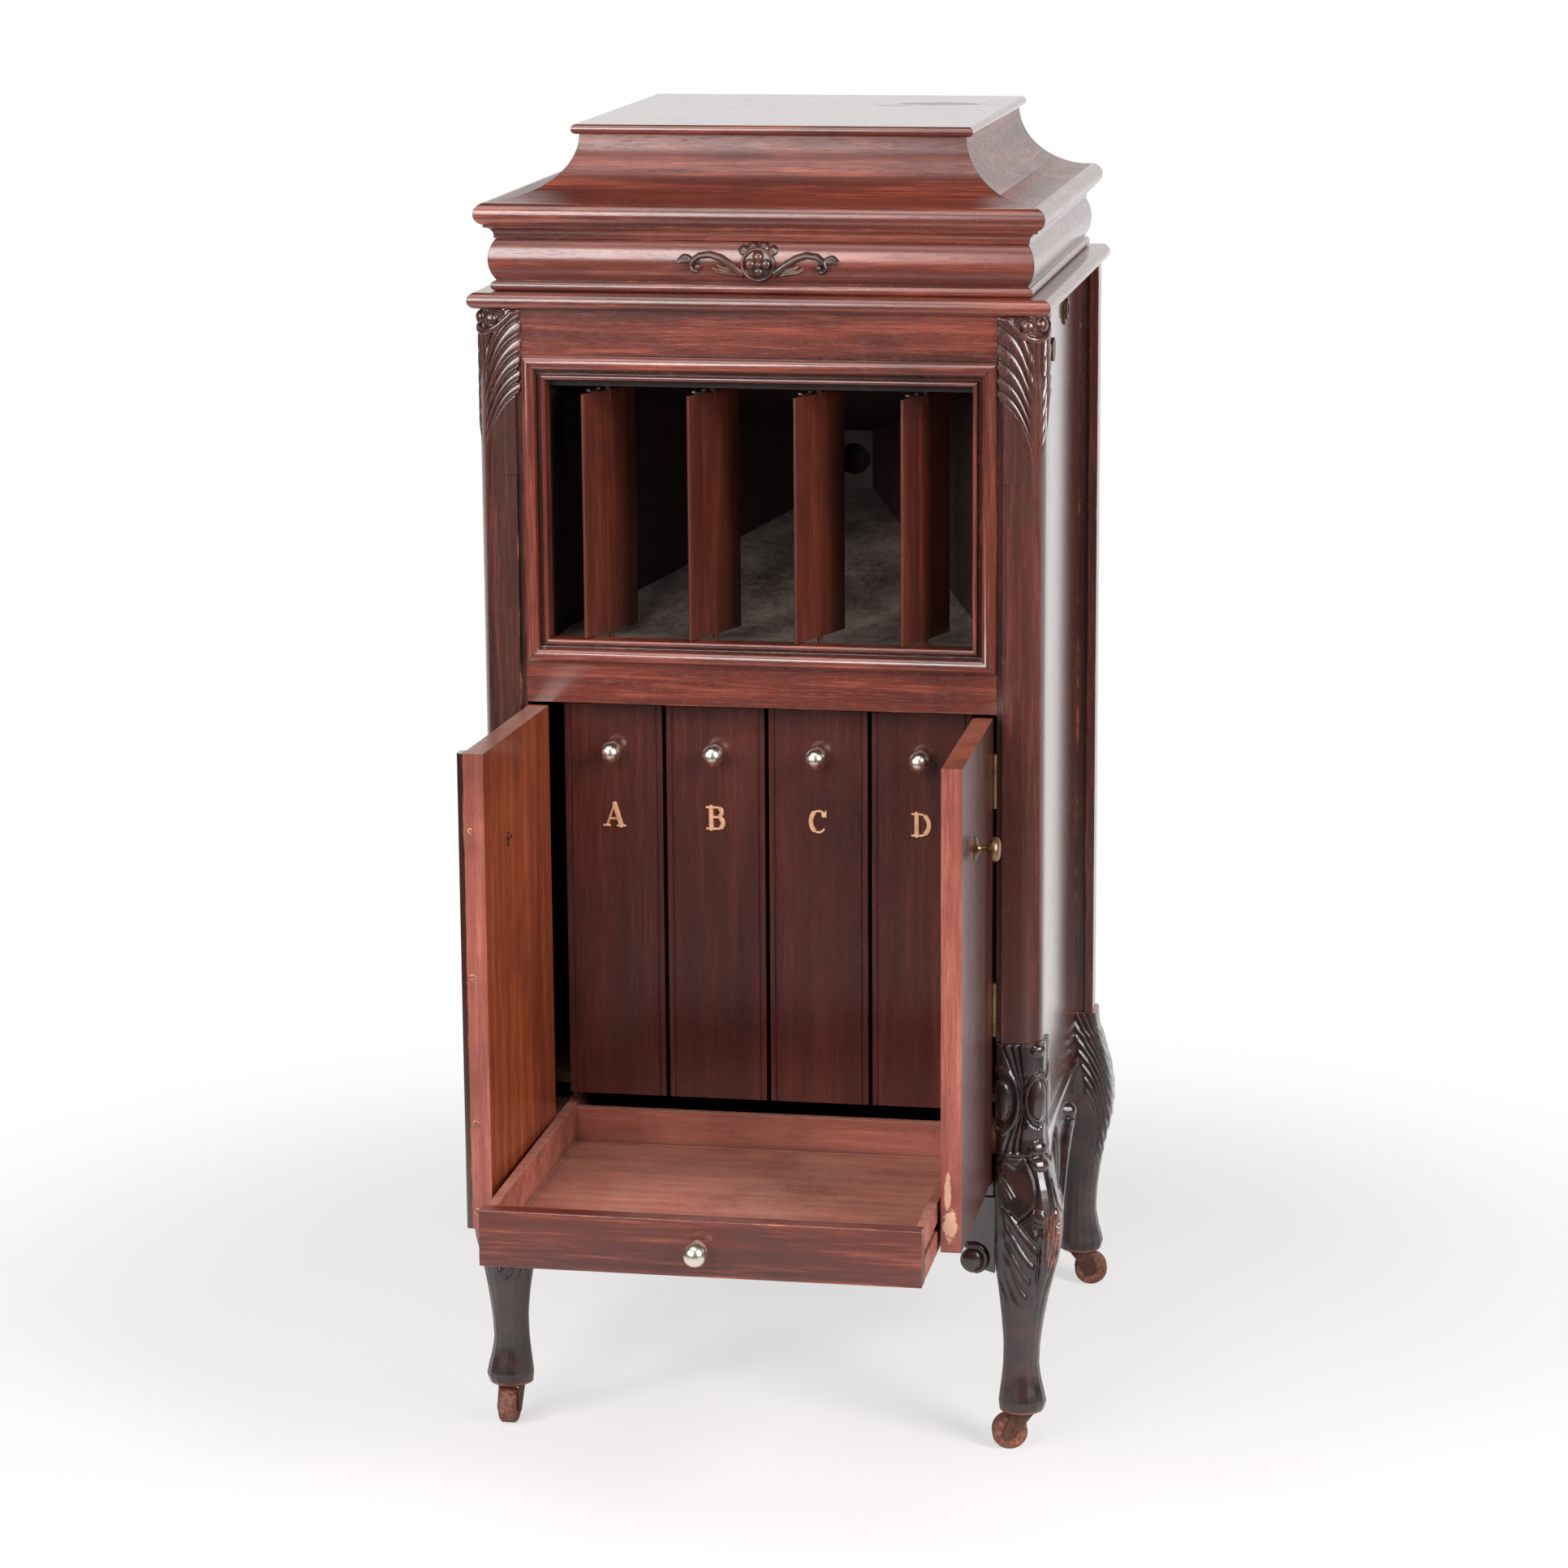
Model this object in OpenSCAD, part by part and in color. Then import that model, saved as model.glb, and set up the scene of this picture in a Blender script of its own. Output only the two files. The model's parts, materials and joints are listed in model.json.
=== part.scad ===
// Gramophone cabinet: a mahogany case on four cabriole legs with casters, a hinged coved lid over the
// turntable, a wooden horn behind four turning sound louvres, two doors, four record bins and a tray.
// Origin on the floor under the middle of the case top. X right, Y back, Z up, and the front faces -Y.
// It is drawn as it stands for use: lid shut, louvres and both doors open, and the tray pulled out.

/* [Case] */
// Width of the moulded top of the case
slab_w = 530; // [510:1:560]
// Depth of the moulded top of the case
slab_d = 486; // [470:1:510]
// Thickness of the moulded top
slab_t = 15; // [12:1:18]
// Height of the upper face of the moulded top
slab_z = 1071; // [1061:1:1085]
// Overhang of the moulded top past the posts
slab_over = 5.7; // [4:0.1:9]
// Side of the square corner posts
post_w = 42; // [38:1:46]
// Rounding of the outer corner of a post
post_r = 20; // [8:1:26]
// Depth of the small sunk strip along a post
strip_in = 4; // [2:0.5:6]
// Setback of the side panels from the posts
panel_in = 18; // [12:1:22]
// Thickness of the side panels
panel_t = 14; // [10:1:16]
// Thickness of the back panel
back_t = 8; // [5:1:12]
// Height of the upper face of the bottom board
floor_z = 255; // [250:1:262]
// Thickness of the bottom board
floor_t = 15; // [12:1:18]

/* [Front] */
// Height of the underside of the middle rail
mid_rail_z = 695; // [685:1:705]
// Height of the middle rail
mid_rail_h = 37; // [30:1:44]
// Height of the frieze rail over the frame
frieze_h = 41; // [36:1:54]
// Width of the frame moulding
frame_w = 22.5; // [20:0.5:26]
// Thickness of the front rails
rail_t = 18; // [14:1:20]
// Setback of the front rails from the posts
rail_in = 3.3; // [1:0.1:6]

/* [Rim and lid] */
// Setback of the motor rim from the edge of the moulded top
rim_set = 16.6; // [12:0.1:22]
// Height of the motor rim above the moulded top
rim_h = 47; // [42:1:54]
// Thickness of the motor rim
rim_t = 25; // [20:1:30]
// Bulge of the rim moulding
rim_bulge = 6.4; // [3:0.1:8]
// Radius of the bead under the rim
bead_r = 4.5; // [3:0.1:5]
// Distance from the middle of the case to the back of the rim
rim_back = 226; // [220:1:230]
// Setback of the lid lip from the edge of the moulded top
lip_set = 6; // [3:0.5:10]
// Radius of the lid lip
lip_r = 10.3; // [8:0.1:12]
// Width of the hollow curve of the lid
cove_w = 71; // [60:1:80]
// Height of the hollow curve of the lid
cove_h = 56; // [48:1:62]
// Thickness of the coved boards
cove_t = 12; // [8:1:15]
// Thickness of the lid's top board
top_t = 9; // [7:1:12]
// Overhang of the lid's top board
top_over = 6.8; // [3:0.1:10]
// Setback of the coved back board from the back of the lip
cove_back_in = 8; // [4:1:14]

/* [Louvres] */
// Width of a louvre
louvre_w = 88; // [80:1:92]
// Thickness of a louvre
louvre_t = 5; // [4:0.5:6]
// Angle of the louvres from shut, as drawn
louvre_open = 69; // [60:1:75]
// Gap under a louvre
louvre_lift = 6; // [5:0.5:9]
// Radius of a louvre's lower pivot pin
louvre_pin_r = 2.5; // [2:0.1:3]
// Radius of a louvre's upper pivot pin
louvre_top_r = 3; // [2.5:0.1:3.5]
// Length of the crank on a louvre's upper pin
crank_arm = 20; // [18:0.5:21]
// Radius of the tone rod
rod_r = 3; // [2.5:0.1:3.5]
// Radius of the disc on the tone rod
rod_disc_r = 10.7; // [9:0.1:10.9]

/* [Doors] */
// Thickness of a door
door_t = 18.5; // [16:0.5:20]
// Angle of the left door from shut, as drawn
left_open = 92.5; // [91.5:0.5:95]
// Angle of the right door from shut, as drawn
right_open = 90.5; // [90:0.5:95]
// Gap under and over a door
door_gap = 2; // [1:0.5:4]
// Distance of the door knob from its hinge
door_knob_at = 130; // [110:1:190]
// Height of the door knob
door_knob_z = 603; // [500:1:640]
// Distance of the left door's catch from its hinge
catch_at = 144; // [120:1:180]
// Radius of a hinge barrel
barrel_r = 3; // [2.5:0.1:3.2]
// Radius of a hinge pin
hinge_pin_r = 1.5; // [1.2:0.1:1.8]

/* [Tray and bins] */
// Gap between the tray and an open door
tray_gap = 2.3; // [1:0.1:6]
// Height of the tray's front
tray_front_h = 51; // [44:1:54]
// Thickness of the tray's front
tray_front_t = 16; // [12:1:18]
// How far the tray is drawn out
tray_out = 330; // [250:5:335]
// Length of the tray behind its front
tray_len = 381; // [360:1:390]
// Radius of the tray's ball knob
tray_knob_r = 10.5; // [8:0.5:12]
// Room between the row of bins and a post
bin_side = 25.3; // [22:0.1:28]
// Gap between two bin fronts
bin_gap = 4; // [3:0.5:6]
// Setback of the bin fronts from the posts
bin_in = 34.3; // [33:0.1:42]
// Height of the underside of the bins
bin_z = 314; // [312:1:322]
// Thickness of a bin front
bin_front_t = 14; // [10:1:16]
// Length of a bin behind its front
bin_len = 320; // [280:5:330]
// Radius of a bin's ball knob
bin_knob_r = 9.8; // [8:0.1:11]
// Height of the bin knobs
bin_knob_z = 645.5; // [600:1:660]

/* [Horn] */
// Width of the horn throat
throat_w = 36; // [32:1:44]
// Height of the horn throat
throat_h = 56; // [40:1:60]
// Height of the middle of the throat
throat_z = 867; // [850:1:880]
// Distance of the throat from the middle of the case
throat_x = 25; // [10:1:35]
// Distance from the middle of the case back to the throat
throat_y = 150; // [140:1:152]
// Thickness of the horn boards
horn_t = 8; // [6:1:10]
// Inner radius of the elbow behind the throat
elbow_r = 15.5; // [14:0.5:16]

/* [Turntable] */
// Radius of the turntable
platter_r = 127; // [115:1:130]
// Distance of the spindle in front of the middle of the case
spindle_y = 47; // [42:1:48]
// Radius of the spindle
spindle_r = 3.55; // [3.4:0.01:3.6]
// Thickness of the motor board
board_t = 12; // [10:1:14]
// Length of the tone arm, from its swivel to the sound box joint
arm_len = 186; // [175:1:190]
// Angle of the tone arm from straight ahead, as drawn
arm_parked = 38; // [36:1:40]
// Radius of the winding hole
crank_r = 5.5; // [4.5:0.1:6.5]
// Distance of the winding hole behind the middle of the case
crank_y = 62; // [55:1:70]

/* [Legs and casters] */
// Height of the top of the carved block on the front legs
block_z = 388; // [370:1:400]
// Height of the top of the rear legs
rear_leg_z = 300; // [290:1:310]
// How far the foot stands forward or back of the post
foot_out = 18; // [8:1:24]
// Radius of a caster wheel
wheel_r = 16.5; // [14:0.5:18]
// Width of a caster wheel
wheel_w = 16; // [12:1:18]
// Trail of a caster
caster_trail = 11; // [8:1:13]
// Radius of a caster's swivel pin
pintle_r = 4; // [3.5:0.1:5]
// Angle of each caster's trail: front left, front right, rear left, rear right
caster_turn = [-90, 190, 30, 8]; // [-180:1:360]

/* [Hidden] */
$fn = 48;

// Colours as the photograph shows them.
mahogany = [0.36, 0.12, 0.07];
dark_mahogany = [0.17, 0.06, 0.05];
inner_wood = [0.48, 0.2, 0.11];
brass = [0.72, 0.62, 0.42];
bronze = [0.33, 0.23, 0.15];
steel = [0.45, 0.44, 0.42];

// Clearances: a running fit round a pin, a gap between moving pieces, and a fine gap between boards.
fit = 0.05;
gap = 0.3;
slack = 0.4;
reach = 320;
tall = 1400;

// Posts and case.
post_x = slab_w / 2 - slab_over;
post_y = slab_d / 2 - slab_over;
in_x = post_x - post_w;
in_y = post_y - post_w;
mitre = (slab_w - slab_d) / 2;
slab_under = slab_z - slab_t;
panel_x = post_x - panel_in;
strip_w = 5;
rear_strip_w = 9;

// Front, from the doors up.
frame_z = mid_rail_z + mid_rail_h;
frame_top = slab_under - frieze_h;
frame_h = frame_top - frame_z;
frame_back = post_y - rail_in - rail_t + 3;
open_x = in_x - frame_w;
open_z = frame_z + frame_w;
open_top = frame_top - frame_w;
door_z = floor_z + door_gap + 1;
door_top = mid_rail_z - door_gap;

// Rim and lid, measured as a distance out from the middle: a side at x = a has its front at y = mitre - a.
rim_a = slab_w / 2 - rim_set;
rim_in = rim_a - rim_t;
rim_top = slab_z + rim_h;
rim_back_t = 18;
rebate = 2;
well_in = 18;
lid_z = rim_top + gap;
lip_c = slab_w / 2 - lip_set - lip_r;
cove_foot = 12.2;
lip_z = lid_z + cove_foot + lip_r;
lip_top = lip_z + lip_r;
lid_in = rim_in - 4;
cove_top = lip_top + cove_h;
top_a = lip_c - cove_w + top_over;
cove_back = rim_back - cove_back_in;

// Doors.
hinge_gap = 1.5;
hinge_x = in_x - hinge_gap;
hinge_y = -(post_y + 1);
door_w = hinge_x - 0.6;
leaf_t = 1.2;
leaf_w = 16;
leaf_h = 50;
door_hinge_z = [block_z + 8, mid_rail_z - 85];
lid_hinge_x = 140;
lid_hinge_y = rim_back + barrel_r + 0.2;
lid_hinge_z = rim_top + gap / 2;

// Louvres and the tone rod that turns them.
louvre_pitch = open_x / 2;
louvre_x = [-1.5 * louvre_pitch, -0.5 * louvre_pitch, 0.5 * louvre_pitch, 1.5 * louvre_pitch];
louvre_y = -in_y + 2.3;
louvre_z = open_z + 1;
louvre_top = open_top - 13;
room_floor = louvre_z - louvre_lift;
room_t = 12;
room_ceiling = louvre_top + 6;
room_top = room_ceiling + 10;
room_x = open_x + 1.5;
room_back = louvre_y + 43;
swing = 34;
crank_z = room_top + 2;
bar_z = crank_z + 5;
slot_y = louvre_y + crank_arm * (1 + cos(swing)) / 2;
rod_y = -in_y + rod_disc_r + 1.1;
rod_z = slab_under - 35.2;
rod_disc_x = panel_x + 15.2;

// Horn, elbow and tone arm.
elbow_plate = 6;
elbow_bend = 20;
elbow_wall = 2.5;
spindle_foot = slab_z - 12;
arm_x = throat_x;
arm_y = throat_y + elbow_plate + elbow_bend;
board_z = slab_z + board_t;
flange_t = 6;
arm_tube_r = elbow_r - 0.5;
arm_z = board_z + 55;
ball_r = 9.5;
yoke_x = ball_r + 2.8;

// Tray and bins.
tray_y = -post_y + door_t + 1.8 - tray_out;
tray_z = floor_z + 1;
tray_half = hinge_x - door_t - tray_gap;
tray_bed = 325;
tray_side_t = 9;
tray_side_h = tray_front_h - 5;
groove_z = tray_z + 20;
groove_h = 8;
groove_in = 4;
tray_back_y = tray_y + tray_front_t + tray_bed;
bin_y = -post_y + bin_in;
bin_top = mid_rail_z - 7;
bin_pitch = (in_x - bin_side) / 2;
bin_x = [-1.5 * bin_pitch, -0.5 * bin_pitch, 0.5 * bin_pitch, 1.5 * bin_pitch];
shelf_t = 7;
shelf_y = -150;
deck_t = 10;

// Legs and casters.
pad_z = 2 * wheel_r + 5;
pad_out = 5;
pad_in = 5.5;
collar_z = 276;
caster_x = (in_x + pad_in + post_x + pad_out) / 2;
caster_y = (in_y + pad_in + post_y + pad_out) / 2 + foot_out;
leg_round = [for (k = [0:4]) k / 4];

// Outline of a leg: [height, how far it swells past the post outside, how far it draws in inside].
LEG = [
    [pad_z, pad_out, pad_in], [48, 8, 4.5], [62, 4, 6.5], [80, 0.5, 8.5], [104, 1.5, 9], [130, 5, 7],
    [155, 10, 4], [185, 17.5, 0], [208, 19.5, 0], [229, 18, 0], [250, 14, 0], [262, 10.5, 0],
    [271, 8, 0], [collar_z, 8, 0], [281, 5, 0], [295, 3.2, 0], [block_z + 20, 3.2, 0]
];
// Roundness of the section by height: 0 is the block, 1 is a round ankle.
LEG_ROUND = [[40, 1], [110, 1], [150, 0.8], [190, 0.5], [230, 0.35], [270, 0.25], [300, 0.1], [420, 0.1]];

function arc(c, r, a0, a1, n) =
    [for (i = [0:n]) let (a = a0 + (a1 - a0) * i / n) [c[0] + r * cos(a), c[1] + r * sin(a)]];

function oval(c, rx, ry, a0, a1, n) =
    [for (i = [0:n]) let (a = a0 + (a1 - a0) * i / n) [c[0] + rx * cos(a), c[1] + ry * sin(a)]];

// Arc from z0 to z1 that starts and ends at a and stands out by sag.
function bulge(a, z0, z1, sag, n) =
    let (half = (z1 - z0) / 2, r = (half * half + sag * sag) / (2 * sag), t = asin(half / r))
    arc([a + sag - r, (z0 + z1) / 2], r, -t, t, n);

function smooth(t) = let (c = min(1, max(0, t))) c * c * (3 - 2 * c);

// A moulding across the front, mitred at both ends. Points are [distance out, height].
module front_run(points) {
    intersection() {
        translate([0, mitre, 0]) mirror([0, 1, 0]) rotate([90, 0, 90]) translate([0, 0, -reach])
            linear_extrude(2 * reach) polygon(points);
        translate([0, 0, -1]) linear_extrude(tall)
            polygon([[-reach, mitre - reach], [reach, mitre - reach], [0, mitre]]);
    }
}

// The same moulding along the right side, mitred in front and cut square at the back.
module side_run(points, back_y) {
    intersection() {
        translate([0, back_y, 0]) rotate([90, 0, 0]) linear_extrude(2 * reach) polygon(points);
        translate([0, 0, -1]) linear_extrude(tall)
            polygon([[0, mitre], [reach, mitre - reach], [reach, reach], [0, reach]]);
    }
}

module three_runs(points, back_y) {
    front_run(points);
    side_run(points, back_y);
    mirror([1, 0, 0]) side_run(points, back_y);
}

// A plate with a half-round nosing on the front and both sides.
module nosed_plate(half_w, back_y, z, t) {
    r = t / 2;
    intersection() {
        translate([0, back_y, 0]) rotate([90, 0, 0]) linear_extrude(2 * reach)
            polygon(concat(arc([half_w - r, z + r], r, -90, 90, 10),
                           arc([r - half_w, z + r], r, 90, 270, 10)));
        translate([0, mitre, 0]) mirror([0, 1, 0]) rotate([90, 0, 90]) translate([0, 0, -reach])
            linear_extrude(2 * reach)
            polygon(concat([[mitre - back_y, z]], arc([half_w - r, z + r], r, -90, 90, 10),
                           [[mitre - back_y, z + t]]));
    }
}

// A block between two corners.
module block(low, high) {
    translate(low) cube(high - low);
}

module both_sides() {
    children();
    mirror([1, 0, 0]) children();
}

// ---- case

module case_top() {
    color(mahogany) difference() {
        nosed_plate(slab_w / 2, slab_d / 2, slab_under, slab_t);
        block([-rim_in + well_in, mitre - rim_in + well_in, slab_under - 1],
              [rim_in - well_in, rim_back - 28, slab_z + 1]);
    }
}

function rim_points() = let (edge = rim_a - rim_bulge) concat(
    [[rim_in, slab_z], [edge - 2, slab_z]],
    arc([rim_a - bead_r - 1.7, slab_z + bead_r], bead_r, -80, 80, 8),
    bulge(edge, slab_z + 2 * bead_r + 0.5, rim_top, rim_bulge, 14),
    [[rim_in, rim_top]]);

module motor_rim() {
    color(mahogany) {
        three_runs(rim_points(), rim_back);
        block([-rim_in - rebate, rim_back - rim_back_t, slab_z], [rim_in + rebate, rim_back, rim_top]);
    }
}

brake_x = -150;
brake_y = -150;
brake_pin_r = 3;

module motor_board() {
    color(mahogany) difference() {
        block([-rim_in + gap, mitre - rim_in + gap, slab_z],
              [rim_in - gap, rim_back - rim_back_t - gap, board_z]);
        translate([0, -spindle_y, slab_z - 1]) cylinder(h = board_t + 2, r = 9);
        translate([arm_x, arm_y, slab_z - 1]) cylinder(h = board_t + 2, r = elbow_r + elbow_wall);
    }
    color(steel) translate([brake_x, brake_y, board_z]) cylinder(h = 9, r = brake_pin_r);
}

// The carved ornament on the rim, lying on its curve: a rose with a crown of lobes and, on each side, an
// arm that winds in to a ball, a bud where it turns down, and a leaf below.
crest_r = 16;
crest_lift = 4.5;
arm_mid = [47, -8];
arm_end = [56.6, -2.8];
// Distance of the arm from arm_mid by angle, and half its width.
ARM_TURN = [[-8, 10.4], [10, 12], [25, 15.3], [60, 16.8], [100, 16.8], [133, 18.6], [161, 23], [178, 34]];
ARM_WIDE = [[-8, 1.3], [90, 2], [178, 2.6]];

function arm_point(a, side) =
    arm_mid + (lookup(a, ARM_TURN) + side * lookup(a, ARM_WIDE)) * [cos(a), sin(a)];

module crest_outline() {
    circle(crest_r);
    both_sides() {
        polygon(concat([for (a = [-8:6:178]) arm_point(a, 1)], [for (a = [178:-6:-8]) arm_point(a, -1)]));
        translate(arm_end) circle(3.6);
        polygon([[60, 5.5], [66, 8], [75, 2], [67, -0.5], [61, 1]]);
        polygon([[10, -11], [26, -9.5], [38, -6], [41, -3], [32, -2.5], [24, -3.5], [10, -7]]);
        for (x = [5, 12.5]) translate([x, 14]) circle(4.2);
    }
}

module crest_carving() {
    crest_z = slab_z + 27;
    edge = rim_a - rim_bulge;
    color(dark_mahogany) intersection() {
        translate([0, 0, crest_z]) rotate([90, 0, 0]) linear_extrude(reach) crest_outline();
        translate([0, mitre, 0]) mirror([0, 1, 0]) rotate([90, 0, 90]) translate([0, 0, -reach])
            linear_extrude(2 * reach) difference() {
                polygon(concat([[rim_in, slab_z + 11]],
                    bulge(edge + crest_lift, slab_z + 11, rim_top - 1, rim_bulge, 14),
                    [[rim_in, rim_top - 1]]));
                polygon(rim_points());
            }
    }
}

module post_outline(strip) {
    difference() {
        polygon(concat([[in_x, -in_y], [in_x, -post_y]],
                       arc([post_x - post_r, post_r - post_y], post_r, -90, 0, 10), [[post_x, -in_y]]));
        if (strip == "front") {
            translate([in_x - 1, -post_y - 1]) square([strip_w + 1, strip_in + 1]);
            translate([post_x - strip_in, -in_y - strip_w]) square([strip_in + 1, strip_w + 1]);
        }
        if (strip == "rear") {
            translate([panel_x, -in_y - strip_in]) square([rear_strip_w, strip_in + 1]);
        }
    }
}

// Room in a post for the fixed leaf and the barrel of each door hinge.
module hinge_mortise() {
    for (z = door_hinge_z) {
        block([in_x - 1, -post_y - 1, z - fit], [in_x + leaf_t, -post_y + leaf_w, z + leaf_h + fit]);
        translate([hinge_x, hinge_y, z - gap]) cylinder(h = leaf_h + 2 * gap, r = barrel_r + gap);
    }
}

module front_posts() {
    color(mahogany) both_sides() difference() {
        translate([0, 0, block_z]) linear_extrude(slab_under - block_z) post_outline("front");
        hinge_mortise();
    }
}

module rear_posts() {
    color(mahogany) both_sides() mirror([0, 1, 0]) translate([0, 0, rear_leg_z])
        linear_extrude(slab_under - rear_leg_z) post_outline("rear");
}

// ---- legs

function leg_shift(z) = foot_out * smooth((235 - z) / 130);
function leg_out(z) = lookup(z, [for (k = LEG) [k[0], k[1]]]);
function leg_in(z) = lookup(z, [for (k = LEG) [k[0], k[2]]]);

// Four rounded corners of the leg's section at one height, as 20 points.
function leg_ring(z) =
    let (x0 = in_x + leg_in(z), x1 = post_x + leg_out(z), s = leg_shift(z),
         y1 = -in_y - leg_in(z) - s, y0 = -post_y - leg_out(z) - s,
         half = min(x1 - x0, y1 - y0) / 2, f = lookup(z, LEG_ROUND),
         ro = f * half + (1 - f) * 14, ri = f * half + (1 - f) * 2.5,
         rf = f * half + (1 - f) * 9,
         corners = [[x0 + rf, y0 + rf, rf, 180], [x1 - ro, y0 + ro, ro, 270],
                    [x1 - ri, y1 - ri, ri, 0], [x0 + ri, y1 - ri, ri, 90]])
    [for (c = corners) for (t = leg_round)
        [c[0] + c[2] * cos(c[3] + 90 * t), c[1] + c[2] * sin(c[3] + 90 * t), z]];

module leg(top) {
    steps = ceil((top - pad_z) / 9);
    heights = [for (i = [0:steps]) pad_z + (top - pad_z) * i / steps];
    n = 20;
    rings = [for (z = heights) leg_ring(z)];
    points = [for (r = rings) for (p = r) p];
    last = len(heights) - 1;
    faces = concat(
        [[for (i = [0:n - 1]) i]],
        [for (k = [0:last - 1]) for (i = [0:n - 1]) let (j = (i + 1) % n)
            [k * n + i, (k + 1) * n + i, (k + 1) * n + j, k * n + j]],
        [[for (i = [n - 1:-1:0]) last * n + i]]);
    difference() {
        polyhedron(points, faces, convexity = 6);
        translate([caster_x, -caster_y, pad_z - 1]) cylinder(h = 30, r = pintle_r + fit);
    }
}

module front_legs() {
    color(dark_mahogany) both_sides() leg(block_z);
}

module rear_legs() {
    color(dark_mahogany) both_sides() mirror([0, 1, 0]) leg(rear_leg_z);
}

// ---- rails, panels and boards

module front_rails() {
    y = -post_y + rail_in;
    color(mahogany) {
        block([-in_x, y, frame_top], [in_x, y + rail_t, slab_under]);
        block([-in_x, y, mid_rail_z], [in_x, y + rail_t, frame_z]);
    }
}

// Section of the frame moulding: [how proud, distance out from the opening].
frame_proud = 24;
frame_points = concat(
    [[0, 0]], arc([16, 2.5], 2.5, -90, 90, 8), [[14, 5], [14, 8]],
    arc([frame_proud - 7, frame_w - 7.3], 6.8, -60, 90, 14), [[15, frame_w], [0, frame_w]]);

module frame_rail(z) {
    intersection() {
        translate([0, -frame_back, z]) mirror([0, 1, 0]) rotate([90, 0, 90]) translate([0, 0, -reach])
            linear_extrude(2 * reach) polygon(frame_points);
        translate([0, 0, z]) rotate([90, 0, 0]) linear_extrude(reach)
            polygon([[-open_x, 0], [open_x, 0], [open_x + 40, 40], [-open_x - 40, 40]]);
    }
}

module frame_stile() {
    intersection() {
        translate([open_x, -frame_back, frame_z]) linear_extrude(frame_h)
            polygon([for (p = frame_points) [p[1], -p[0]]]);
        rotate([90, 0, 0]) linear_extrude(reach)
            polygon([[open_x, open_z], [open_x + 40, open_z - 40], [open_x + 40, open_top + 40],
                     [open_x, open_top]]);
    }
}

module louvre_frame() {
    color(mahogany) {
        frame_rail(open_top);
        translate([0, 0, 2 * open_z]) mirror([0, 0, 1]) frame_rail(open_z);
        both_sides() frame_stile();
    }
}

module side_panel() {
    block([panel_x - panel_t, -in_y, floor_z], [panel_x, in_y, slab_under]);
}

module side_panels() {
    color(mahogany) {
        mirror([1, 0, 0]) side_panel();
        difference() {
            side_panel();
            translate([0, rod_y, rod_z]) rotate([0, 90, 0]) cylinder(h = reach, r = rod_r + fit);
            translate([0, crank_y, crank_z0]) rotate([0, 90, 0]) cylinder(h = reach, r = crank_tube_r + fit);
        }
    }
}

module back_panel() {
    color(inner_wood)
        block([-in_x, post_y - back_t - 3, floor_z], [in_x, post_y - 3, slab_under]);
}

module bottom_board() {
    color(mahogany) translate([0, 0, floor_z - floor_t]) linear_extrude(floor_t) {
        translate([-in_x, -post_y + rail_in]) square([2 * in_x, 2 * post_y - 2 * rail_in]);
        translate([-panel_x - 5, -in_y]) square([2 * panel_x + 10, 2 * in_y]);
    }
}

// Front apron with a scrolled bracket at each leg, and side aprons with a hanging drop.
apron_t = 16;
scroll_r = 12.5;

module front_apron_outline() {
    top = floor_z - floor_t;
    translate([-in_x, top - 36]) square([2 * in_x, 36]);
    both_sides() difference() {
        union() {
            translate([in_x - 20, top - 62]) circle(scroll_r);
            polygon([[in_x, top - 30], [in_x, top - 74], [in_x - 14, top - 70], [in_x - 22, top - 50],
                     [in_x - 62, top - 36], [in_x - 60, top - 30]]);
        }
        translate([in_x - 56, top - 62]) circle(22);
    }
}

module side_apron_outline() {
    top = floor_z - floor_t;
    half = 110;
    polygon(concat([[in_y, top], [-in_y, top], [-in_y, top - 36]],
        [for (i = [0:20]) let (y = -half + 2 * half * i / 20)
            [y, top - 36 - 56 * pow((1 + cos(180 * y / half)) / 2, 1.6)]],
        [[in_y, top - 36]]));
}

module aprons() {
    color(dark_mahogany) {
        translate([0, -post_y + rail_in + apron_t, 0]) rotate([90, 0, 0]) linear_extrude(apron_t)
            front_apron_outline();
        both_sides() translate([panel_x - panel_t + 2, 0, 0]) rotate([90, 0, 90])
            linear_extrude(apron_t) side_apron_outline();
    }
}

module horn_deck() {
    color(inner_wood)
        block([-in_x, -in_y, mid_rail_z], [in_x, post_y - back_t - 3, mid_rail_z + deck_t]);
}

// The shelf that the bins slide on and the upright boards between them.
module bin_rack() {
    back = post_y - back_t - 3;
    inner_x = panel_x - panel_t;
    z = bin_z - gap;
    divider_t = bin_gap + 4;
    color(inner_wood) {
        difference() {
            block([-inner_x, shelf_y, z - shelf_t], [inner_x, back, z]);
            both_sides() block([in_x, in_y, z - shelf_t - 1], [reach, reach, z + 1]);
        }
        for (i = [-2:2])
            translate([i * bin_pitch, 0, 0])
                block([-divider_t / 2, shelf_y, z], [divider_t / 2, in_y, mid_rail_z]);
    }
}

// ---- horn

// A four-sided tapering solid between two upright rectangles [x0, x1, z0, z1] at y0 and y1.
module taper(a, b, y0, y1) {
    intersection() {
        linear_extrude(tall) polygon([[a[0], y0], [a[1], y0], [b[1], y1], [b[0], y1]]);
        rotate([90, 0, 90]) translate([0, 0, -reach]) linear_extrude(2 * reach)
            polygon([[y0, a[2]], [y0, a[3]], [y1, b[3]], [y1, b[2]]]);
    }
}

// The inside of the horn at y, carried on past both ends so that it cuts them clean.
function horn_at(y) =
    let (t = (y - room_back) / (throat_y - room_back),
         a = [-room_x, room_x, room_floor, room_ceiling],
         b = [throat_x - throat_w / 2, throat_x + throat_w / 2, throat_z - throat_h / 2,
              throat_z + throat_h / 2])
    a + t * (b - a);

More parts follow.
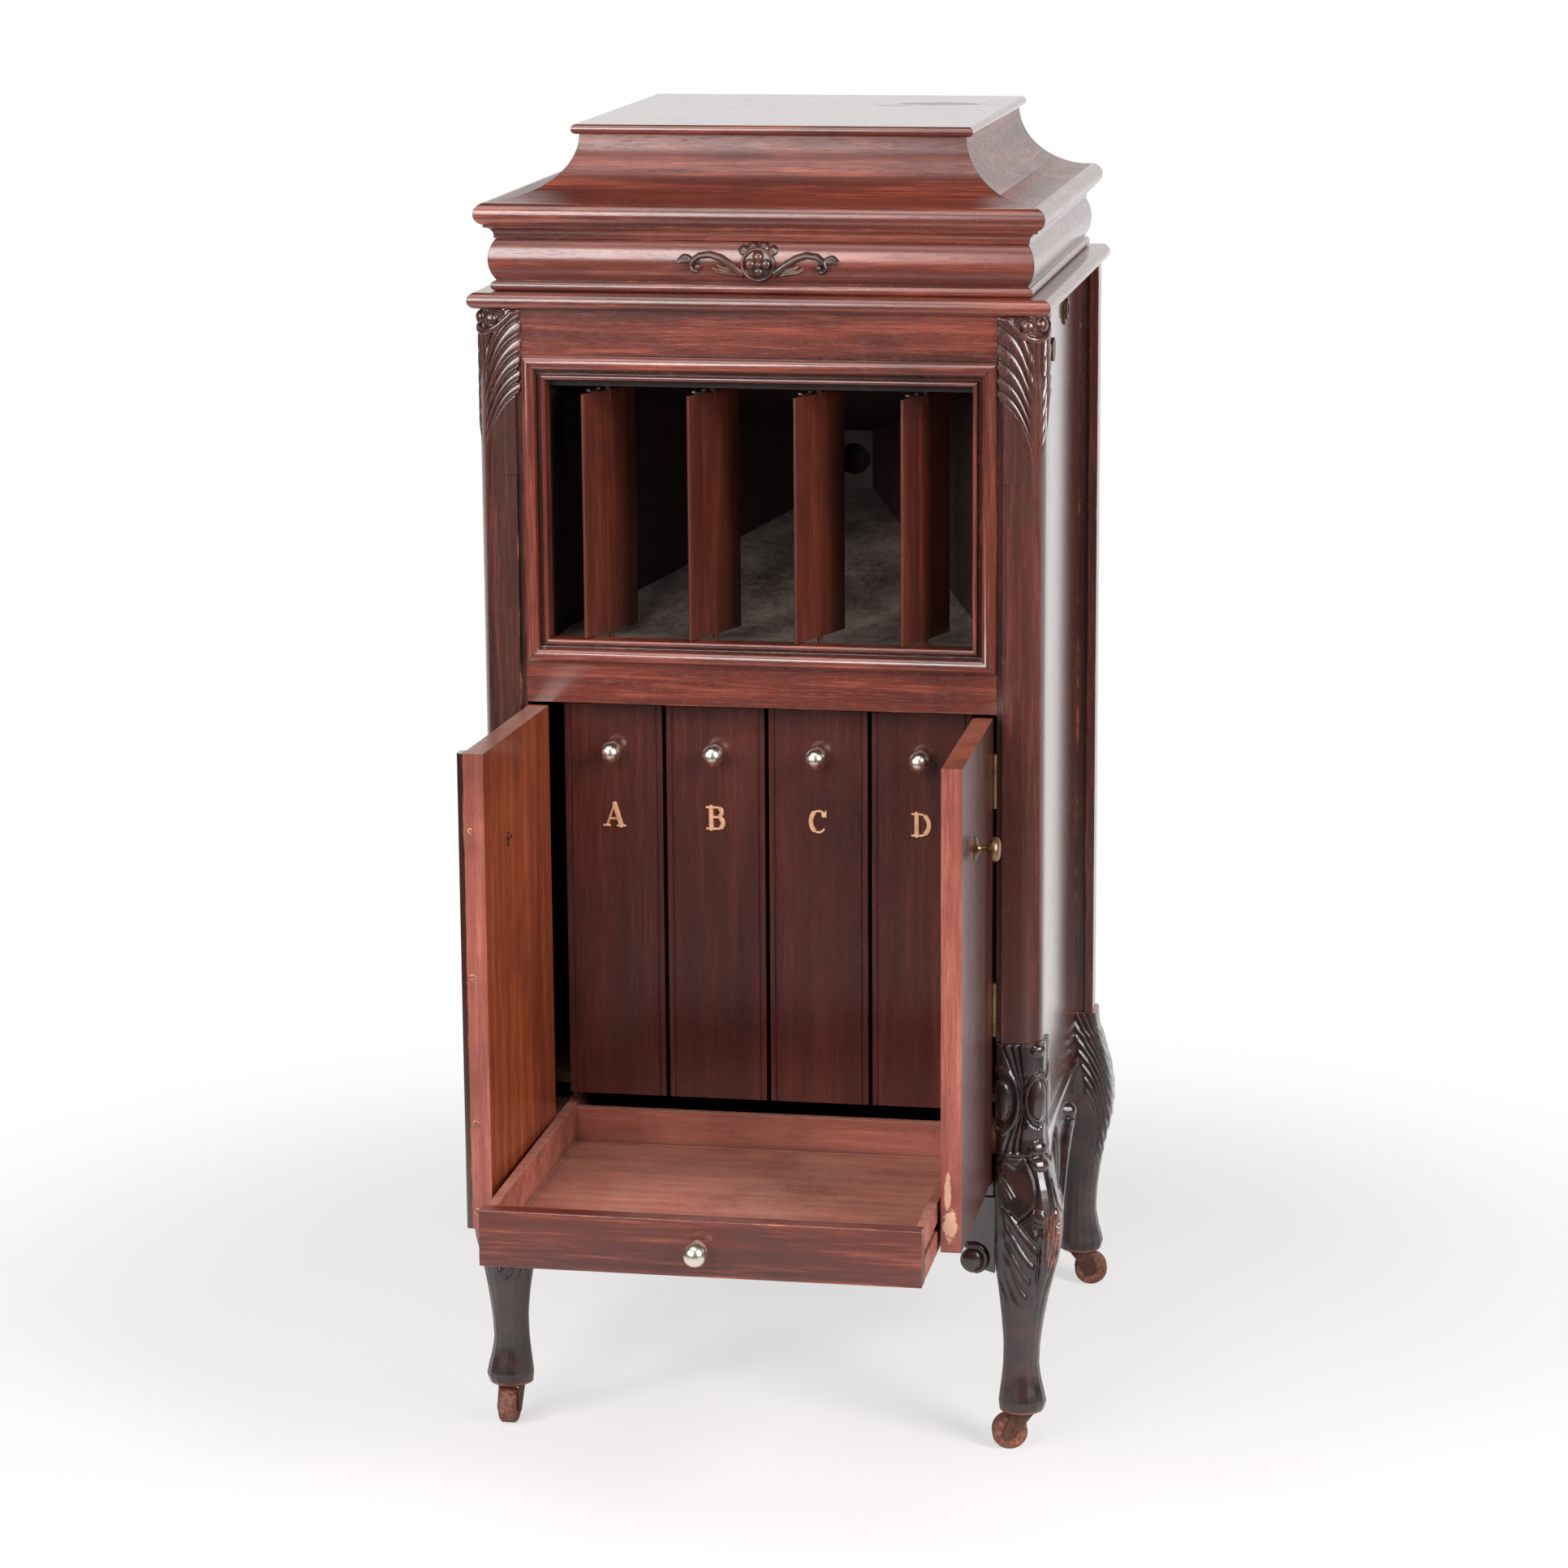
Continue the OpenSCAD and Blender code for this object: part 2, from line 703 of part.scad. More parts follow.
module horn() {
    grow = [-horn_t, horn_t, -horn_t, horn_t];
    color(inner_wood) {
        difference() {
            taper(horn_at(room_back) + grow, horn_at(throat_y) + grow, room_back, throat_y);
            taper(horn_at(room_back - 5), horn_at(throat_y + 5), room_back - 5, throat_y + 5);
        }
        difference() {
            block([-room_x - room_t, -frame_back, room_floor - room_t],
                  [room_x + room_t, room_back, room_floor]);
            for (x = louvre_x)
                translate([x, louvre_y, room_floor - 6]) cylinder(h = 7, r = louvre_pin_r + fit);
        }
        difference() {
            block([-room_x - room_t, -frame_back, room_ceiling], [room_x + room_t, room_back, room_top]);
            for (x = louvre_x)
                translate([x, louvre_y, room_ceiling - 1]) cylinder(h = 12, r = louvre_top_r + fit);
        }
        both_sides() block([room_x, -frame_back, room_floor], [room_x + room_t, room_back, room_ceiling]);
        both_sides() block([room_x - 20, slot_y - 7, room_top], [room_x - 12, slot_y + 7, bar_z - gap]);
    }
}

module horn_elbow() {
    r = elbow_r + elbow_wall;
    rise = board_z + flange_t;
    bend_z = throat_z + elbow_bend;
    color(steel) difference() {
        union() {
            translate([arm_x, throat_y + elbow_plate, throat_z]) rotate([90, 0, 0])
                linear_extrude(elbow_plate) square([56, 72], center = true);
            translate([arm_x, throat_y + elbow_plate, bend_z]) rotate([0, 90, 0])
                rotate_extrude(angle = 90) translate([elbow_bend, 0]) circle(r);
            translate([arm_x, arm_y, bend_z]) cylinder(h = board_z - bend_z, r = r);
            translate([arm_x, arm_y, board_z]) cylinder(h = flange_t, r = 27);
        }
        translate([arm_x, throat_y - 1, throat_z]) rotate([-90, 0, 0])
            cylinder(h = elbow_plate + 1, r = elbow_r);
        translate([arm_x, throat_y + elbow_plate, bend_z]) rotate([0, 90, 0])
            rotate_extrude(angle = 90) translate([elbow_bend, 0]) circle(elbow_r);
        translate([arm_x, arm_y, bend_z]) cylinder(h = rise - bend_z + 1, r = elbow_r);
    }
}

// ---- louvres and tone rod

// A louvre with its pins and the crank that the tone rod pushes, drawn shut and then turned open.
module louvre(i) {
    crank_turn = 90 + swing - louvre_open;
    color(mahogany) translate([louvre_x[i], louvre_y, 0]) rotate([0, 0, louvre_open]) {
        translate([0, 0, louvre_z]) linear_extrude(louvre_top - louvre_z)
            polygon(concat(arc([louvre_w / 2 - 1.5, 0], 1.5, -90, 90, 6), [[0, louvre_t / 2]],
                           arc([1.5 - louvre_w / 2, 0], 1.5, 90, 270, 6), [[0, -louvre_t / 2]]));
        translate([0, 0, room_floor - 5.5]) cylinder(h = 20, r = louvre_pin_r);
        translate([0, 0, louvre_top - 10]) cylinder(h = crank_z + 10 - louvre_top, r = louvre_top_r);
        rotate([0, 0, crank_turn]) {
            translate([0, 0, crank_z]) linear_extrude(3) {
                circle(5);
                translate([crank_arm, 0]) circle(3);
                translate([0, -3]) square([crank_arm, 6]);
            }
            translate([crank_arm, 0, crank_z]) cylinder(h = bar_z + 3 - crank_z, r = 1.5);
        }
    }
}

module tone_rod() {
    slot_x = 4.6;
    slot_len = 8.4;
    lead = crank_arm * sin(swing);
    end_x = room_x - 3;
    color(bronze) {
        difference() {
            block([-end_x + 6, slot_y - 6.5, bar_z], [end_x, slot_y + 6.5, bar_z + 3]);
            for (x = louvre_x)
                block([x - lead - slot_x / 2, slot_y - slot_len / 2, bar_z - 1],
                      [x - lead + slot_x / 2, slot_y + slot_len / 2, bar_z + 4]);
        }
        block([end_x - 5, rod_y - 5, bar_z + 3], [end_x, slot_y + 4, rod_z + 5]);
        translate([end_x, rod_y, rod_z]) rotate([0, 90, 0]) cylinder(h = rod_disc_x - end_x, r = rod_r);
        translate([rod_disc_x, rod_y, rod_z]) rotate([0, 90, 0]) cylinder(h = 5, r = rod_disc_r);
    }
}

// ---- motor, turntable, tone arm

crank_z0 = slab_under - 28;
crank_tube_r = 8;

// Bedplate, two side plates, the spring drum on the winding shaft, and the governor.
module spring_motor() {
    low = slab_z - 84;
    front = -spindle_y - 45;
    back = crank_y + 40;
    color(steel) {
        difference() {
            union() {
                block([-80, front - 10, slab_z - 5], [80, back + 6, slab_z]);
                both_sides() block([66, front, low], [70, back, slab_z - 5]);
                block([-66, -spindle_y - 14, slab_z - 45], [66, -spindle_y + 14, slab_z - 40]);
                translate([0, -spindle_y, slab_z - 40]) cylinder(h = 40 + board_t, r = 8.9);
                translate([-66, crank_y, crank_z0]) rotate([0, 90, 0]) cylinder(h = 132, r = 34);
                translate([70, crank_y, crank_z0]) rotate([0, 90, 0]) cylinder(h = 12, r = 14);
                translate([82, crank_y, crank_z0]) rotate([0, 90, 0])
                    cylinder(h = panel_x - panel_t - 88, r = 5);
                translate([-66, -8, crank_z0 - 8]) rotate([0, 90, 0]) cylinder(h = 132, r = 3);
                translate([-30, -8, crank_z0 - 8]) rotate([0, 90, 0]) cylinder(h = 4, r = 26);
                for (a = [0, 120, 240])
                    translate([10, -8, crank_z0 - 8]) rotate([a, 0, 0]) translate([0, 0, 13]) sphere(r = 7);
                translate([3, -8, crank_z0 - 8]) rotate([0, 90, 0]) cylinder(h = 14, r = 10);
            }
            translate([0, -spindle_y, spindle_foot - gap])
                cylinder(h = slab_z + board_t + 1 - spindle_foot, r = spindle_r + fit);
        }
    }
}

module crank_escutcheon() {
    color(bronze) translate([0, crank_y, crank_z0]) rotate([0, 90, 0]) difference() {
        union() {
            translate([0, 0, panel_x - panel_t]) cylinder(h = panel_t, r = crank_tube_r);
            translate([0, 0, panel_x]) cylinder(h = 2, r = 15);
            translate([0, 0, panel_x + 2]) cylinder(h = 2, r = 10);
        }
        translate([0, 0, panel_x - panel_t - 1]) cylinder(h = panel_t + 6, r = crank_r);
    }
}

module turntable() {
    low = board_z + 5;
    top = board_z + 17;
    color(steel) translate([0, -spindle_y, 0]) {
        translate([0, 0, spindle_foot]) cylinder(h = top + 12 - spindle_foot, r = spindle_r);
        rotate_extrude() polygon([
            [spindle_r - 1, low - 2], [14, low - 2], [16, top - 4], [platter_r - 5, top - 4],
            [platter_r - 5, low], [platter_r - 1, low], [platter_r, low + 1], [platter_r, top - 1],
            [platter_r - 1, top], [spindle_r - 1, top]]);
    }
}

// The arm points ahead and is then turned to its parked angle over the board.
module at_arm() {
    translate([arm_x, arm_y, 0]) rotate([0, 0, arm_parked]) children();
}

module tonearm() {
    color(steel) at_arm() {
        difference() {
            translate([0, 0, board_z - 10]) cylinder(h = arm_z - board_z + 10, r = arm_tube_r + 0.5 - fit);
            translate([0, 0, board_z - 11]) cylinder(h = arm_z - board_z - 8, r = arm_tube_r - 2);
        }
        translate([0, 0, board_z + flange_t + gap]) cylinder(h = 7, r = 20);
        translate([0, 0, arm_z]) sphere(r = arm_tube_r + 0.5 - fit);
        translate([0, 0, arm_z]) rotate([90, 0, 0]) cylinder(h = arm_len - ball_r - slack, r1 = 14, r2 = 9);
        translate([0, 4 - arm_len + ball_r + slack, arm_z]) rotate([90, 0, 0]) cylinder(h = 4, r = yoke_x);
        for (s = [-1, 1])
            translate([s > 0 ? ball_r + slack : -yoke_x, -arm_len, arm_z]) rotate([90, 0, 90])
                linear_extrude(yoke_x - ball_r - slack) {
                    circle(5);
                    translate([0, -5]) square([ball_r + slack + 1, 10]);
                }
        translate([-yoke_x, -arm_len, arm_z]) rotate([0, 90, 0]) cylinder(h = 2 * yoke_x, r = 1.5);
    }
}

module sound_box() {
    box_r = 26;
    box_y = -arm_len - 38;
    needle = arm_z - box_r - 8.5;
    color(steel) at_arm() {
        difference() {
            union() {
                translate([0, -arm_len, arm_z]) sphere(r = ball_r);
                translate([0, -arm_len, arm_z]) rotate([90, 0, 0]) cylinder(h = 38, r1 = 8.5, r2 = 7.5);
            }
            translate([-20, -arm_len, arm_z]) rotate([0, 90, 0]) cylinder(h = 40, r = 1.5 + fit);
        }
        translate([0, box_y, arm_z]) sphere(r = 7.5);
        translate([0, box_y, arm_z]) rotate([0, 90, 0]) translate([0, 0, -12]) cylinder(h = 12, r = 7.5);
        translate([-12, box_y, arm_z]) rotate([0, -90, 0]) {
            cylinder(h = 3, r1 = 16, r2 = box_r);
            translate([0, 0, 3]) cylinder(h = 10, r = box_r);
            translate([0, 0, 13]) cylinder(h = 2, r1 = box_r, r2 = box_r - 3);
        }
        translate([-25, box_y, needle + 12]) rotate([30, 0, 0]) translate([0, 0, -4]) cylinder(h = 14, r = 2.5);
        translate([-25, box_y - 6, needle]) rotate([-20, 0, 0]) cylinder(h = 14, r1 = 0.4, r2 = 1.2);
    }
}

module brake_lever() {
    turn = atan2(-spindle_y - brake_y, -brake_x);
    far = norm([brake_x, -spindle_y - brake_y]) - platter_r - 0.6;
    color(brass) translate([brake_x, brake_y, board_z + gap]) rotate([0, 0, turn]) difference() {
        union() {
            linear_extrude(3) {
                circle(8);
                translate([0, -4]) square([far - 6, 8]);
                translate([-26, -3]) square([26, 6]);
            }
            translate([-28, 0, 0]) cylinder(h = 10, r = 5);
            translate([far - 9, -4, 0]) cube([9 - 0.6, 8, 12]);
        }
        translate([0, 0, -1]) cylinder(h = 6, r = brake_pin_r + fit);
    }
}

// ---- lid

function lip_points() =
    let (nose = 251.5 - 248.7, cove_c = lip_c + nose, start = -acos(nose / lip_r))
    concat([[lid_in, lid_z], [cove_c - 8, lid_z]], arc([cove_c, lid_z + 2.2], 8, 180, 90, 8),
           arc([lip_c, lip_z], lip_r, start, 90, 16), [[lid_in, lip_top]]);

module lid_rim() {
    color(mahogany) {
        three_runs(lip_points(), rim_back);
        block([-lid_in - rebate, rim_back - rim_back_t, lid_z], [lid_in + rebate, rim_back, lip_top]);
    }
}

// Inner curve of the coved boards, from the lip up to the top board.
cove_inner_t0 = asin(cove_h / (cove_h + cove_t));
cove_inner = oval([lip_c, cove_top], -(cove_w + cove_t), -(cove_h + cove_t), cove_inner_t0, 0, 16);

module lid_cove() {
    color(mahogany) {
        three_runs(concat(cove_inner, oval([lip_c, cove_top], -cove_w, -cove_h, 0, 90, 24)), cove_back);
        translate([0, cove_back, 0]) rotate([90, 0, 0]) linear_extrude(cove_t)
            polygon(concat(cove_inner,
                           [for (i = [len(cove_inner) - 1:-1:0]) [-cove_inner[i][0], cove_inner[i][1]]]));
    }
}

module lid_top_board() {
    color(mahogany) nosed_plate(top_a, cove_back, cove_top, top_t);
}

// ---- hinges

// Knuckles of a butt hinge along +Z from the origin: the fixed half has both ends and the pin.
module knuckles(fixed) {
    third = leaf_h / 3;
    if (fixed) {
        cylinder(h = third - gap / 2, r = barrel_r);
        translate([0, 0, 2 * third + gap / 2]) cylinder(h = third - gap / 2, r = barrel_r);
        cylinder(h = leaf_h, r = hinge_pin_r);
    } else {
        difference() {
            translate([0, 0, third + gap / 2]) cylinder(h = third - gap, r = barrel_r);
            cylinder(h = leaf_h, r = hinge_pin_r + fit);
        }
    }
}

// Room in a leaf for the knuckles of the other half.
module knuckle_room(fixed) {
    third = leaf_h / 3;
    if (fixed) {
        translate([0, 0, third - gap / 2]) cylinder(h = third + gap, r = barrel_r + gap);
    } else {
        translate([0, 0, -1]) cylinder(h = third + gap / 2 + 1, r = barrel_r + gap);
        translate([0, 0, 2 * third - gap / 2]) cylinder(h = third + 2, r = barrel_r + gap);
    }
}

module door_hinge(fixed, z) {
    side = fixed ? hinge_gap : -leaf_t;
    translate([0, 0, z]) {
        difference() {
            block([side, 1, 0], [side + leaf_t, 1 + leaf_w, leaf_h]);
            knuckle_room(fixed);
            cylinder(h = leaf_h, r = hinge_pin_r + fit);
        }
        knuckles(fixed);
        if (fixed) {
            block([side, -0.5, 0], [side + leaf_t, 1.5, leaf_h / 3 - gap]);
            block([side, -0.5, 2 * leaf_h / 3 + gap], [side + leaf_t, 1.5, leaf_h]);
        } else {
            difference() {
                block([-leaf_t, 0, leaf_h / 3 + gap], [0, 2, 2 * leaf_h / 3 - gap]);
                cylinder(h = leaf_h, r = hinge_pin_r + fit);
            }
        }
    }
}

// A lid hinge lies along X on the back faces of the rim and the lid.
module lid_hinge(fixed) {
    side = fixed ? -1 : 1;
    for (s = [-1, 1])
        translate([s * lid_hinge_x - leaf_h / 2, lid_hinge_y, lid_hinge_z]) {
            rotate([0, 90, 0]) knuckles(fixed);
            difference() {
                translate([0, -barrel_r - 0.2, fixed ? -leaf_w - 3 : 0.15])
                    cube([leaf_h, leaf_t, leaf_w + 3 - 0.15]);
                rotate([0, 90, 0]) knuckle_room(fixed);
            }
        }
}

module hinge_leaves() {
    color(brass) {
        both_sides() translate([hinge_x, hinge_y, 0]) for (z = door_hinge_z) door_hinge(true, z);
        lid_hinge(true);
    }
}

module lid_hinge_leaves() {
    color(brass) lid_hinge(false);
}

// ---- doors, drawn shut on the right of the hinge axis and then swung open

module at_right_door() {
    translate([hinge_x, hinge_y, 0]) rotate([0, 0, right_open]) children();
}

module at_left_door() {
    translate([-hinge_x, hinge_y, 0]) rotate([0, 0, -left_open]) mirror([1, 0, 0]) children();
}

module door_board() {
    difference() {
        block([-door_w, 1, door_z], [0, 1 + door_t, door_top]);
        for (z = door_hinge_z) {
            block([-leaf_t, 0, z - fit], [1, 1 + leaf_w, z + leaf_h + fit]);
            translate([0, 0, z - gap]) cylinder(h = leaf_h + 2 * gap, r = barrel_r + gap);
        }
    }
}

module left_door() {
    color(mahogany) at_left_door() door_board();
}

// A rounded strip on the outer face that covers the joint between the doors.
module left_door_strip() {
    strip = 14;
    color(mahogany) at_left_door() translate([-door_w, 1, door_z]) linear_extrude(door_top - door_z)
        polygon(concat([[0, 0]], arc([3, -3], 3, 180, 270, 5), arc([strip - 3, -3], 3, 270, 360, 5),
                       [[strip, 0]]));
}

// Hinge leaves and, on the inner face, the small catch that holds the door shut.
module left_door_brasswork() {
    color(brass) at_left_door() {
        for (z = door_hinge_z) door_hinge(false, z);
        translate([-catch_at, 1 + door_t, door_knob_z]) rotate([-90, 0, 0]) {
            cylinder(h = 1, r = 4);
            translate([0, 0, 1]) cylinder(h = 3, r = 2);
            translate([-1.5, -2, 0]) cube([3, 11, 1.5]);
        }
    }
}

module right_door() {
    color(mahogany) at_right_door() door_board();
}

module right_door_knob() {
    color(brass) at_right_door() translate([-door_knob_at, 1, door_knob_z]) rotate([90, 0, 0])
        rotate_extrude() polygon(concat(
            [[0, 0], [11, 0], [11, 1], [8, 2.5], [4.5, 3.5], [3, 6], [3, 11], [5, 13]],
            arc([6, 17.5], 5, -50, 90, 10), [[0, 22.5]]));
}

module right_door_hinge_leaves() {
    color(brass) at_right_door() for (z = door_hinge_z) door_hinge(false, z);
}

// ---- tray

module tray_front() {
    color(mahogany)
        block([-tray_half - 0.5, tray_y, tray_z - 0.4],
              [tray_half + 0.5, tray_y + tray_front_t, tray_z + tray_front_h]);
}

module tray_box() {
    y0 = tray_y + tray_front_t;
    y1 = y0 + tray_len;
    z1 = tray_z + tray_side_h;
    inner = tray_half - tray_side_t;
    color(inner_wood) {
        both_sides() difference() {
            block([inner, y0, tray_z], [tray_half, y1, z1]);
            block([tray_half - groove_in, y0 - 1, groove_z], [tray_half + 1, y1 + 1, groove_z + groove_h]);
        }
        block([-inner, y0, tray_z + 5], [inner, tray_back_y, tray_z + 10]);
        block([-inner, tray_back_y, tray_z + 5], [inner, tray_back_y + 9, z1 - 2]);
    }
}

// A ball on a turned neck, standing out along -Y from the origin.
module ball_knob(r) {
    neck = 0.42 * r;
    rotate([90, 0, 0]) rotate_extrude() difference() {
        union() {
            square([0.75 * r, 2]);
            square([neck, r]);
            translate([0, 0.6 * r + r]) circle(r);
        }
        translate([-2 * r, 0]) square([2 * r, 4 * r]);
    }
}

module tray_knob() {
    color(brass) translate([0, tray_y, tray_z + tray_front_h / 2]) ball_knob(tray_knob_r);
}

// Tongues that run in the grooves of the tray's sides, on a cleat along each side panel.
module tray_runners() {
    inner_x = panel_x - panel_t;
    cleat_x = tray_half + 2;
    color(inner_wood) both_sides() {
        block([cleat_x, -in_y, groove_z - 6], [inner_x, in_y, groove_z + groove_h + 6]);
        block([tray_half - groove_in + slack, -in_y, groove_z + slack],
              [cleat_x, in_y, groove_z + groove_h - slack]);
    }
}

// ---- bins

module bin(i) {
    w = bin_pitch - bin_gap;
    body_w = w - 6;
    wall = 6;
    back_y = bin_y + bin_front_t + bin_len;
    side_h = bin_top - bin_z - 30;
    bead = 1.6;
    color(mahogany) translate([bin_x[i], 0, 0]) {
        difference() {
            block([-w / 2, bin_y, bin_z], [w / 2, bin_y + bin_front_t, bin_top]);
            both_sides() translate([w / 2 - 5.4, bin_y, bin_z - 1]) cylinder(h = bin_top, r = 0.9);
        }
        block([-body_w / 2, bin_y + bin_front_t, bin_z], [body_w / 2, back_y, bin_z + 8]);
        block([-body_w / 2 + wall, back_y - 8, bin_z + 8], [body_w / 2 - wall, back_y, bin_z + side_h]);
        both_sides() translate([body_w / 2 - wall, 0, 0]) rotate([90, 0, 90]) linear_extrude(wall)
            difference() {
                translate([bin_y + bin_front_t, bin_z + 8]) square([bin_len, side_h - 8]);
                translate([bin_y + bin_front_t + bin_len / 2, bin_z + side_h + 60]) circle(150);
            }
    }
}

module bin_knob(i) {
    color(brass) translate([bin_x[i], bin_y, bin_knob_z]) ball_knob(bin_knob_r);
}

// ---- casters

caster_at = [[-caster_x, -caster_y], [caster_x, -caster_y], [-caster_x, caster_y], [caster_x, caster_y]];

module at_caster(i) {
    translate([caster_at[i][0], caster_at[i][1], 0]) rotate([0, 0, caster_turn[i]]) children();
}

// The wheel trails along +X of the swivel pin and turns on an axle along Y.
module caster_fork(i) {
    cheek = 2.5;
    inside = wheel_w / 2 + slack;
    plate = pad_z - gap;
    color(bronze) at_caster(i) {
        translate([0, 0, plate - 1]) cylinder(h = 25, r = pintle_r);
        translate([0, 0, plate - 3]) cylinder(h = 3, r = 14);
        for (s = [-1, 1])
            translate([0, s * (inside + cheek / 2) + cheek / 2, 0]) rotate([90, 0, 0]) linear_extrude(cheek) {
                polygon([[-10, plate - 3], [10, plate - 3], [caster_trail + 6, wheel_r],
                         [caster_trail, wheel_r - 6], [caster_trail - 6, wheel_r - 1]]);
                translate([caster_trail, wheel_r]) circle(6);
            }
        translate([caster_trail, inside + cheek, wheel_r]) rotate([90, 0, 0])
            cylinder(h = 2 * (inside + cheek), r = 2.5);
    }
}

module caster_wheel(i) {
    w = wheel_w / 2;
    color(inner_wood) at_caster(i) translate([caster_trail, 0, wheel_r]) rotate([90, 0, 0])
        rotate_extrude() polygon([[2.5 + fit, -w], [wheel_r - 2, -w], [wheel_r, 2 - w], [wheel_r, w - 2],
                                  [wheel_r - 2, w], [2.5 + fit, w]]);
}

case_top();
motor_rim();
motor_board();
crest_carving();
front_posts();
rear_posts();
front_legs();
rear_legs();
front_rails();
louvre_frame();
side_panels();
back_panel();
bottom_board();
aprons();
horn_deck();
bin_rack();
horn();
horn_elbow();
tray_runners();
spring_motor();
crank_escutcheon();
hinge_leaves();
lid_top_board();
lid_cove();
lid_rim();
lid_hinge_leaves();
turntable();
tonearm();
sound_box();
brake_lever();
tone_rod();
louvre(0);  // louvre_1
louvre(1);  // louvre_2
louvre(2);  // louvre_3
louvre(3);  // louvre_4
left_door();
left_door_strip();
left_door_brasswork();
right_door();
right_door_knob();
right_door_hinge_leaves();
tray_front();
tray_box();
tray_knob();
bin(0);  // bin_a
bin(1);  // bin_b
bin(2);  // bin_c
bin(3);  // bin_d
bin_knob(0);  // bin_a_knob
bin_knob(1);  // bin_b_knob
bin_knob(2);  // bin_c_knob
bin_knob(3);  // bin_d_knob
caster_fork(0);  // front_left_caster_fork
caster_fork(1);  // front_right_caster_fork
caster_fork(2);  // rear_left_caster_fork
caster_fork(3);  // rear_right_caster_fork
caster_wheel(0);  // front_left_caster_wheel
caster_wheel(1);  // front_right_caster_wheel
caster_wheel(2);  // rear_left_caster_wheel
caster_wheel(3);  // rear_right_caster_wheel
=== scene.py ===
# %% [markdown]
# # A gramophone cabinet in red-brown mahogany
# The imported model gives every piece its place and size. This script adds what wood, shellac and brass look
# like: rounded and rubbed edges, grain that follows each board, carving on the posts, legs and rim,
# cast letters, screws, and the soft light of a photographer's table.

# %% Load the frame
import json
import math

import bmesh
import bpy
import numpy as np
from mathutils import Matrix, Vector
from mathutils.bvhtree import BVHTree


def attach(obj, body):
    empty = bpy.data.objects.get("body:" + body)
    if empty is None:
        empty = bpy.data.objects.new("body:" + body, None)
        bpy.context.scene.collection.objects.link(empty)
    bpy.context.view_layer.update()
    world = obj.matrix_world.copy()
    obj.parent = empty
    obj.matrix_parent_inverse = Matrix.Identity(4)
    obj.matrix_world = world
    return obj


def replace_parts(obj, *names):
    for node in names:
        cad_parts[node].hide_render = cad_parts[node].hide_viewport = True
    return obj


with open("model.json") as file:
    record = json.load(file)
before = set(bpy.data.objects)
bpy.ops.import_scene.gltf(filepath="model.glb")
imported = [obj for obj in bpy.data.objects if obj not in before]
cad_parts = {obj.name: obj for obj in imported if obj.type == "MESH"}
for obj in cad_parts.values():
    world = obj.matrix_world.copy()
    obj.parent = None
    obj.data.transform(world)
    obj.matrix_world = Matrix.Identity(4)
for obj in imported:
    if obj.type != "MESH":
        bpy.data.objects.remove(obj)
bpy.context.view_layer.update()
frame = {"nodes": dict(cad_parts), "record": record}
nodes = frame["nodes"]
body_of_node = {n: b for b, names in frame["record"]["behaviour"]["bodies"].items() for n in names}
MM = 0.001
CASE_MIDDLE = 22.0  # mm behind the origin: the middle of the square mouldings, where their mitres would meet

# %% [markdown]
# ## Camera
# The photograph was taken from the right, a little above, with a long lens. The three directions below are
# the camera's right, up and forward, found from the straight edges of the case.

# %% Camera
CAMERA_AT = Vector((0.7510, -4.2822, 1.5496))
LOOK_RIGHT = Vector((0.98440, 0.17583, -0.00659)).normalized()
LOOK_FORWARD = Vector((-0.17298, 0.96020, -0.21930)).normalized()
FOCAL_PX = 5688.2
PICTURE_PX = 1932
SENSOR_MM = 36.0

look_up = LOOK_RIGHT.cross(LOOK_FORWARD).normalized()
cam_data = bpy.data.cameras.new("photo_camera")
cam = bpy.data.objects.new("photo_camera", cam_data)
bpy.context.scene.collection.objects.link(cam)
turn = Matrix((LOOK_RIGHT, look_up, -LOOK_FORWARD)).transposed()
cam.matrix_world = Matrix.Translation(CAMERA_AT) @ turn.to_4x4()
cam_data.sensor_width = SENSOR_MM
cam_data.lens = FOCAL_PX / PICTURE_PX * SENSOR_MM
cam_data.clip_end = 60
bpy.context.scene.camera = cam
print("camera lens", round(cam_data.lens, 2), "mm")

# %% [markdown]
# ## Writing shaders as sums
# A finish is easier to read as arithmetic than as a drawing of nodes. `Sum` wraps a socket, so that
# `pores * 0.3 + cloud` adds the Math nodes by itself. `Finish` starts a material and adds any other node.

# %% Shader arithmetic
class Sum:
    """A socket that can be added, multiplied and compared."""
    def __init__(self, finish, socket):
        self.finish = finish
        self.socket = socket

    def _math(self, operation, *values):
        return self.finish.add("ShaderNodeMath", dict(enumerate(values)), operation=operation)

    def __add__(self, other): return self._math("ADD", self, other)
    def __radd__(self, other): return self._math("ADD", other, self)
    def __sub__(self, other): return self._math("SUBTRACT", self, other)
    def __rsub__(self, other): return self._math("SUBTRACT", other, self)
    def __mul__(self, other): return self._math("MULTIPLY", self, other)
    def __rmul__(self, other): return self._math("MULTIPLY", other, self)
    def __pow__(self, other): return self._math("POWER", self, other)
    def __gt__(self, other): return self._math("GREATER_THAN", self, other)
    def __lt__(self, other): return self._math("LESS_THAN", self, other)
    def __abs__(self): return self._math("ABSOLUTE", self)

    def ramp(self, low, high):
        """0 below low, 1 above high, and smooth in between."""
        return self.finish.add("ShaderNodeMapRange", {"Value": self, "From Min": low, "From Max": high},
                               interpolation_type="SMOOTHSTEP")


